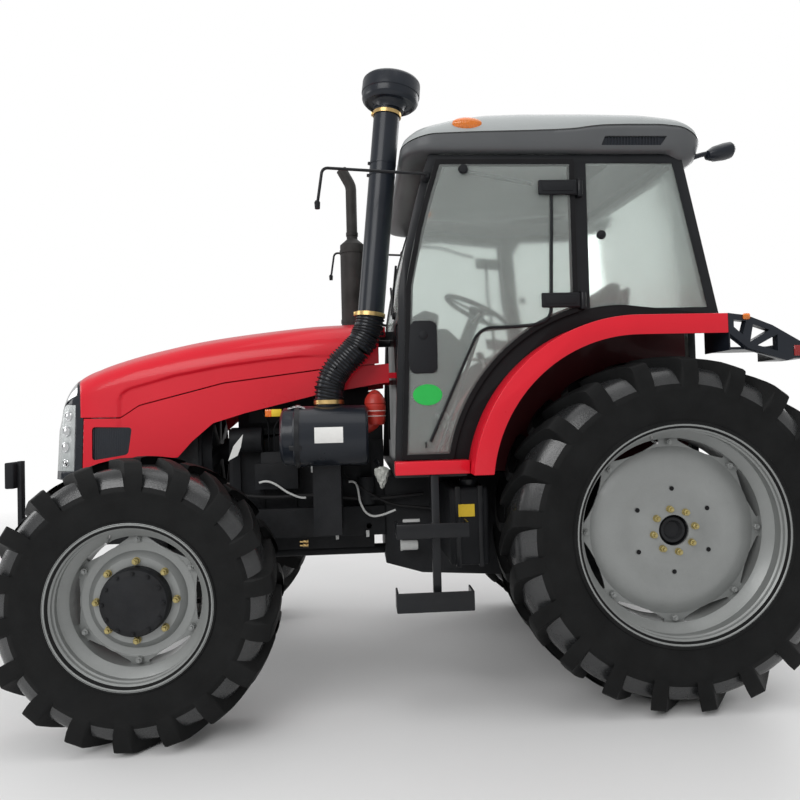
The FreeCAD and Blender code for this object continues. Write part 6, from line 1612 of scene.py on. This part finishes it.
class TRACTOR_OT_engine(bpy.types.Operator):
    """Dress the engine and the radiator and add pipes, wires, hoses, filters, bolts and the fan shroud"""
    bl_idname = "tractor.engine"
    bl_label = "Engine bay"

    def execute(self, context):
        dressed("engine", "cast black", 0.003)
        dressed("radiator", "radiator core", 0.003)
        pipes = []
        for number in range(4):
            x = 1480 + 178 * number
            pipes.append(pipe(f"injector_{number}", [(1870 + 30 * number, 200, 1210),
                (1870 + 30 * number, 212, 1300 + 24 * number), (x, 212, 1440 + 14 * number), (x, 120, 1500), (x, 70,
                1545)], 0.005, 0.03))
        extra("injector_pipes", "black steel", "black_steel", *pipes)
        hoses = [pipe("top_hose", [(2120, 60, 1420), (2200, 60, 1500), (2330, 90, 1510)], 0.024, 0.06, 8),
            pipe("low_hose", [(2160, 150, 930), (2230, 230, 900), (2335, 210, 980)], 0.024, 0.06, 8),
            pipe("fuel_hose", [(1560, 250, 1080), (1460, 270, 1000), (1300, 262, 905), (1040, 300, 880)], 0.008,
            0.06, 6), pipe("wire_loom", [(2240, 262, 1010), (2000, 256, 960), (1700, 262, 975), (1420, 258, 935),
            (1120, 262, 960)], 0.011, 0.12, 6), pipe("brake_hose", [(2240, 250, 760), (2120, 262, 700), (1980, 256,
            742)], 0.007, 0.05, 6), ]
        extra("hoses", "hose rubber", "black_plastic", *hoses)
        wires = [pipe("wire_front", [(2004, 300, 1050), (1968, 300, 1060), (1925, 300, 1046), (1852, 298, 992),
            (1785, 296, 961), (1757, 294, 962)], 0.006, 0.022), pipe("wire_rear", [(1525, 292, 1040), (1492, 296,
            1044), (1478, 298, 1010), (1468, 298, 930), (1440, 300, 872), (1400, 300, 848), (1340, 300, 858),
            (1276, 300, 882)], 0.006, 0.022), pipe("wire_loop", [(1868, 292, 1158), (1845, 292, 1170), (1800, 292,
            1160), (1790, 292, 1148), (1830, 292, 1150)], 0.003, 0.01), ]
        extra("pale_wires", "white filter", "black_plastic", *wires)
        filter_body = lathe("white_filter", "x", (1160, 300, 688), [(0.0, 0.0), (0.0, 0.022), (0.006, 0.026),
            (0.080, 0.026), (0.086, 0.029), (0.094, 0.029), (0.096, 0.0)], 32)
        pale = lathe("sensor", "x", (1150, 330, 825), [(0.0, 0.0), (0.0, 0.009), (0.090, 0.009), (0.092, 0.0)], 16)
        clips = [slab(f"clip_{number}", (ahead, 242, up - 18), (ahead + 18, 256, up + 18), 0.003) for number,
            (ahead, up) in enumerate(((1586, 742), (1420, 750), (1712, 1110)))]
        extra("white_filter", "white filter", "bare_steel", filter_body, pale, *clips)
        tag = prism("paper_tag", [spot(2062, 430, 1315), spot(2112, 430, 1255), spot(2140, 430, 1180),
            spot(2092, 430, 1205), spot(2074, 430, 1250)], Vector((0, 0.0016, 0)))
        extra("paper_tag", "white label", "black_plastic", tag)
        plate = slab("amber_plate", (1860, 448, 1402), (1912, 456, 1440), 0.003)
        stay = slab("amber_plate_stay", (1870, 230, 1410), (1890, 449, 1428), 0.003)
        red_end = slab("amber_plate_end", (1912, 448, 1402), (1944, 456, 1440), 0.003)
        extra("amber_plate", "yellow label", "black_plastic", plate)
        extra("amber_plate_stay", "black steel", "black_steel", stay)
        extra("amber_plate_end", "amber lens", "black_plastic", red_end)
        ends = []
        for number, up in enumerate((722, 702)):
            ends.append(nut(f"coupling_{number}", (1752, 268, up), "x", 0.016, 0.030))
        extra("couplings", "brass", "bare_steel", *ends)
        bolts = []
        first = nut("rail_bolt", (1420, 240, 790), "y", 0.024, 0.014)
        for number, (ahead, up) in enumerate(((1420, 790), (1420, 860), (1620, 860), (2140, 790), (2140, 860),
                                              (2240, 790), (2240, 860), (2640, 790), (2640, 860), (2900, 860))):
            bolts.append(moved(f"rail_bolt_{number}", first, ((ahead - 1420) / 1000, 0, (up - 790) / 1000)))
        bolts = joined("rail_bolts_half", first, *bolts)
        extra("rail_bolts", "black steel", "black_steel", bolts, mirrored("rail_bolts_b", bolts))
        wrap = lathe("wrapped_valve", "z", (1355, 600, 1091), [(-0.062, 0.0), (-0.058, 0.008), (-0.030, 0.016),
            (-0.004, 0.030), (0.018, 0.038), (0.036, 0.034), (0.046, 0.018), (0.048, 0.0)], 26)
        modify(wrap, "SUBSURF", levels=2)
        creases = bpy.data.textures.new("creases", "CLOUDS")
        creases.noise_scale = 0.018
        modify(wrap, "DISPLACE", texture=creases, strength=0.022, mid_level=0.5)
        stem = pipe("valve_stem", [(1355, 600, 1110), (1370, 560, 1150), (1380, 480, 1160)], 0.010, 0.02)
        extra("wrapped_valve", "wrap film", "bare_steel", wrap)
        extra("valve_stem", "black steel", "black_steel", stem)
        back = slab("fan_back", (2312, -262, 905), (2328, 262, 1575), 0.004)
        shroud = lathe("fan_shroud", "x", (2262, 0, 1210), [(0.0, 0.236), (0.0, 0.244), (0.050, 0.244),
            (0.068, 0.250), (0.068, 0.236), (0.0, 0.236)], 56)
        extra("fan_shroud", "matte plastic", "black_plastic", shroud, back)
        return {"FINISHED"}


# Fenders, lamps, tanks, steps and sills

class TRACTOR_OT_fenders(bpy.types.Operator):
    """Dress the fenders, their lamp brackets, the tanks, the steps and the sills"""
    bl_idname = "tractor.fenders"
    bl_label = "Fenders and steps"

    def execute(self, context):
        fender = dressed("fenders", "red paint", 0.004)
        middle_x, middle_z = spot(170, 0, 1040).x, spot(170, 0, 1040).z
        # faces under the fender and on its inner wall get red paint darkened as painted shade
        def inner(place, normal):
            across = Vector((place.x - middle_x, 0, place.z - middle_z))
            under = normal.z < -0.2 if place.x < middle_x else normal.dot(across.normalized()) < -0.2
            return (under and abs(place.y) < 0.9545) or abs(place.y) < 0.545

        paint_faces(fender, "red paint in painted shade", inner)
        outline = [(170 + 864 * math.cos(angle), 1040 + 864 * math.sin(angle))
            for angle in [math.radians(8 + 82 * number / 28) for number in range(29)]]
        inside_line = [(170 + 780 * math.cos(angle), 1040 + 780 * math.sin(angle))
            for angle in [math.radians(90 - 82 * number / 28) for number in range(29)]]
        seal = side_prism("arch_seal", outline + [(-248, 1858), (-248, 1828)] + inside_line, 742, 764, 0.003)
        extra("arch_seals", "seal rubber", "black_plastic", seal, mirrored("arch_seal_b", seal))
        dressed("sills", "red paint", 0.004)
        dressed("rear_lamp_pods", "black plastic", 0.003)
        lenses = [slab("tail_red", (-648, 745, 1620), (-638, 850, 1675), 0.005, 3),
            slab("tail_side", (-626, 952, 1622), (-560, 960, 1672), 0.005, 3)]
        extra("tail_lenses", "red lens", "red_paint", *lenses, *[mirrored(f"tail_b_{number}", lens) for number,
            lens in enumerate(lenses)])
        amber = [slab("tail_amber", (-648, 852, 1620), (-638, 945, 1675), 0.005, 3),
            slab("pod_marker", (-352, 952, 1795), (-318, 966, 1824), 0.007, 3)]
        extra("tail_ambers", "amber lens", "red_paint", *amber, *[mirrored(f"amber_b_{number}", lens) for number,
            lens in enumerate(amber)])
        dressed("marker_plates", "matte plastic", 0.006)
        dressed("fuel_tank", "matte plastic", 0.016)
        dressed("battery_box", "matte plastic", 0.016)
        straps = [slab(f"tank_strap_{number}", (ahead, 240, 648), (ahead + 26, 695, 1039), 0.003) for number,
            ahead in enumerate((868, 980))]
        cap = lathe("tank_cap", "z", (925, 610, 1030), [(0.0, 0.0), (0.0, 0.040), (0.012, 0.046), (0.036, 0.046),
            (0.042, 0.038), (0.042, 0.0)], 32)
        extra("tank_straps", "black steel", "black_steel", *straps, cap, *[mirrored(f"strap_b_{number}", strap)
            for number, strap in enumerate(straps)])
        label = slab("tank_label", (912, 690, 892), (992, 697.5, 952), 0.0008, 1)
        extra("tank_label", "yellow label", "black_plastic", label)
        dressed("cab_steps", "black steel", 0.004)
        cleats = []
        first = slab("cleat", (985, 788, 505), (1003, 888, 511), 0.002)
        for low, up in ((985, 505), (999, 839)):
            for number in range(9):
                cleats.append(moved(f"cleat_{up}_{number}", first, ((low - 985 + 34 * number) / 1000, 0,
                    (up - 505) / 1000)))
        deleted(first)
        cleats = joined("cleats_half", *cleats)
        rail = pipe("grab_rail", [(1150, 772, 1260), (1150, 792, 1260), (1150, 792, 1240), (1150, 772, 1240)], 0.004)
        extra("step_cleats", "black steel", "black_steel", cleats, mirrored("cleats_b", cleats), rail)
        return {"FINISHED"}


# Every other solid: rounded, smoothed and given its finish

class TRACTOR_OT_metalwork(bpy.types.Operator):
    """Dress the axles, frame, gearbox and hitch and add their bolts"""
    bl_idname = "tractor.metalwork"
    bl_label = "Chassis and hitch"

    def execute(self, context):
        for node in sorted(frame["nodes"]):
            if not frame["nodes"][node].hide_render:
                dressed(node)
        flange = nut("trumpet_bolt", (0, 668, 820 + 130), "y", 0.022, -0.014)
        ring_of(flange, 10, "y", (0, 668, 820))
        cover = nut("axle_bolt", (-330, -230, 640), "x", 0.020, -0.012)
        extra("trumpet_bolts", "cast black", "cast_black", flange, mirrored("trumpet_bolts_b", flange), cover)
        return {"FINISHED"}


# Camera, lamps, floor and background

class TRACTOR_OT_stage(bpy.types.Operator):
    """Set up the camera, the soft lamps, the pale floor and the white background"""
    bl_idname = "tractor.stage"
    bl_label = "Stage"

    def execute(self, context):
        fresh()
        bpy.ops.object.camera_add(location=(0.4057, 3.938, 1.3935), rotation=(math.radians(91.2896),
            math.radians(1.4664), math.radians(176.3546)))
        camera = context.view_layer.objects.active
        camera.name = "camera"
        camera.data.sensor_width = 36.0
        camera.data.lens = 30.15
        context.scene.camera = camera
        # columns: name, place, size across, size deep, power
        lamps = (("key_lamp", (4.5, 7.5, 5.5), 6.0, 4.0, 330), ("top_lamp", (-1.0, 0.5, 7.5), 9.0, 6.0, 210),
            ("far_lamp", (-7.0, -6.0, 4.5), 5.0, 4.0, 200), ("nose_lamp", (9.0, -1.0, 3.5), 4.0, 4.0, 130), )
        for name, place, across, deep, power in lamps:
            bpy.ops.object.light_add(type="AREA", location=place)
            lamp = context.view_layer.objects.active
            lamp.name = name
            lamp.data.shape = "RECTANGLE"
            lamp.data.size = across
            lamp.data.size_y = deep
            lamp.data.energy = power
            aim = Vector((0, 0, 1.3)) - Vector(place)
            lamp.rotation_euler = aim.to_track_quat("-Z", "Y").to_euler()
        fresh()
        bpy.ops.mesh.primitive_grid_add(x_subdivisions=8, y_subdivisions=8, size=90, location=(0, 0, 0))
        floor = named("floor")
        material, tree, shader, where = new_material("studio floor")
        tone = effect(tree, "mottle", where, Colour=(0.80, 0.80, 0.80, 1.0), Scale=0.8, Amount=0.015)
        link(tree, tone.outputs["Colour"], shader.inputs["Base Color"])
        shader.inputs["Roughness"].default_value = 0.55
        length = tree.nodes.new("ShaderNodeVectorMath")
        length.operation = "LENGTH"
        link(tree, where, length.inputs[0])
        fade = tree.nodes.new("ShaderNodeMixShader")
        clear = tree.nodes.new("ShaderNodeBsdfTransparent")
        link(tree, spread(tree, length.outputs["Value"], 4.0, 9.5), fade.inputs["Fac"])
        link(tree, shader.outputs["BSDF"], fade.inputs[1])
        link(tree, clear.outputs["BSDF"], fade.inputs[2])
        link(tree, fade.outputs["Shader"], tree.nodes["Material Output"].inputs["Surface"])
        floor.data.materials.append(material)
        world = bpy.data.worlds.new("studio")
        context.scene.world = world
        world.use_nodes = True
        tree = world.node_tree
        soft = tree.nodes["Background"]
        soft.inputs["Color"].default_value = (1, 1, 1, 1)
        soft.inputs["Strength"].default_value = 0.62
        white = tree.nodes.new("ShaderNodeBackground")
        white.inputs["Color"].default_value = (1, 1, 1, 1)
        white.inputs["Strength"].default_value = 1.0
        rays = tree.nodes.new("ShaderNodeLightPath")
        seen = maths(tree, "MAXIMUM", rays.outputs["Is Camera Ray"], rays.outputs["Is Transmission Ray"])
        mix = tree.nodes.new("ShaderNodeMixShader")
        link(tree, seen, mix.inputs["Fac"])
        link(tree, soft.outputs["Background"], mix.inputs[1])
        link(tree, white.outputs["Background"], mix.inputs[2])
        link(tree, mix.outputs["Shader"], tree.nodes["World Output"].inputs["Surface"])
        context.scene.view_settings.view_transform = "Standard"
        return {"FINISHED"}


STEPS = (TRACTOR_OT_stage, TRACTOR_OT_tyres, TRACTOR_OT_rims, TRACTOR_OT_hood, TRACTOR_OT_roof, TRACTOR_OT_cab,
         TRACTOR_OT_doors, TRACTOR_OT_inside, TRACTOR_OT_seat, TRACTOR_OT_intake, TRACTOR_OT_exhaust,
         TRACTOR_OT_engine, TRACTOR_OT_fenders, TRACTOR_OT_metalwork)


class TRACTOR_PT_panel(bpy.types.Panel):
    """The tractor's pieces, in the order in which they are modelled"""
    bl_label = "Farm tractor"
    bl_idname = "TRACTOR_PT_panel"
    bl_space_type = "VIEW_3D"
    bl_region_type = "UI"
    bl_category = "Tractor"

    def draw(self, context):
        for part in PARTS:
            values = sizes(part)
            for name in values.bl_rna.properties.keys():
                if name not in ("rna_type", "name"):
                    self.layout.prop(values, name)
        for step in STEPS:
            self.layout.operator(step.bl_idname)


def register():
    for kind in (*PARTS.values(), *STEPS, TRACTOR_PT_panel):
        bpy.utils.register_class(kind)
    for part, kind in PARTS.items():
        setattr(bpy.types.Scene, "tractor_sizes_" + part, bpy.props.PointerProperty(type=kind))


def unregister():
    for part in PARTS:
        delattr(bpy.types.Scene, "tractor_sizes_" + part)
    for kind in (TRACTOR_PT_panel, *reversed(STEPS), *reversed(PARTS.values())):
        bpy.utils.unregister_class(kind)


def main():
    register()
    for step in STEPS:
        group_name, tool = step.bl_idname.split(".")
        getattr(getattr(bpy.ops, group_name), tool)()


if __name__ == "__main__":
    main()
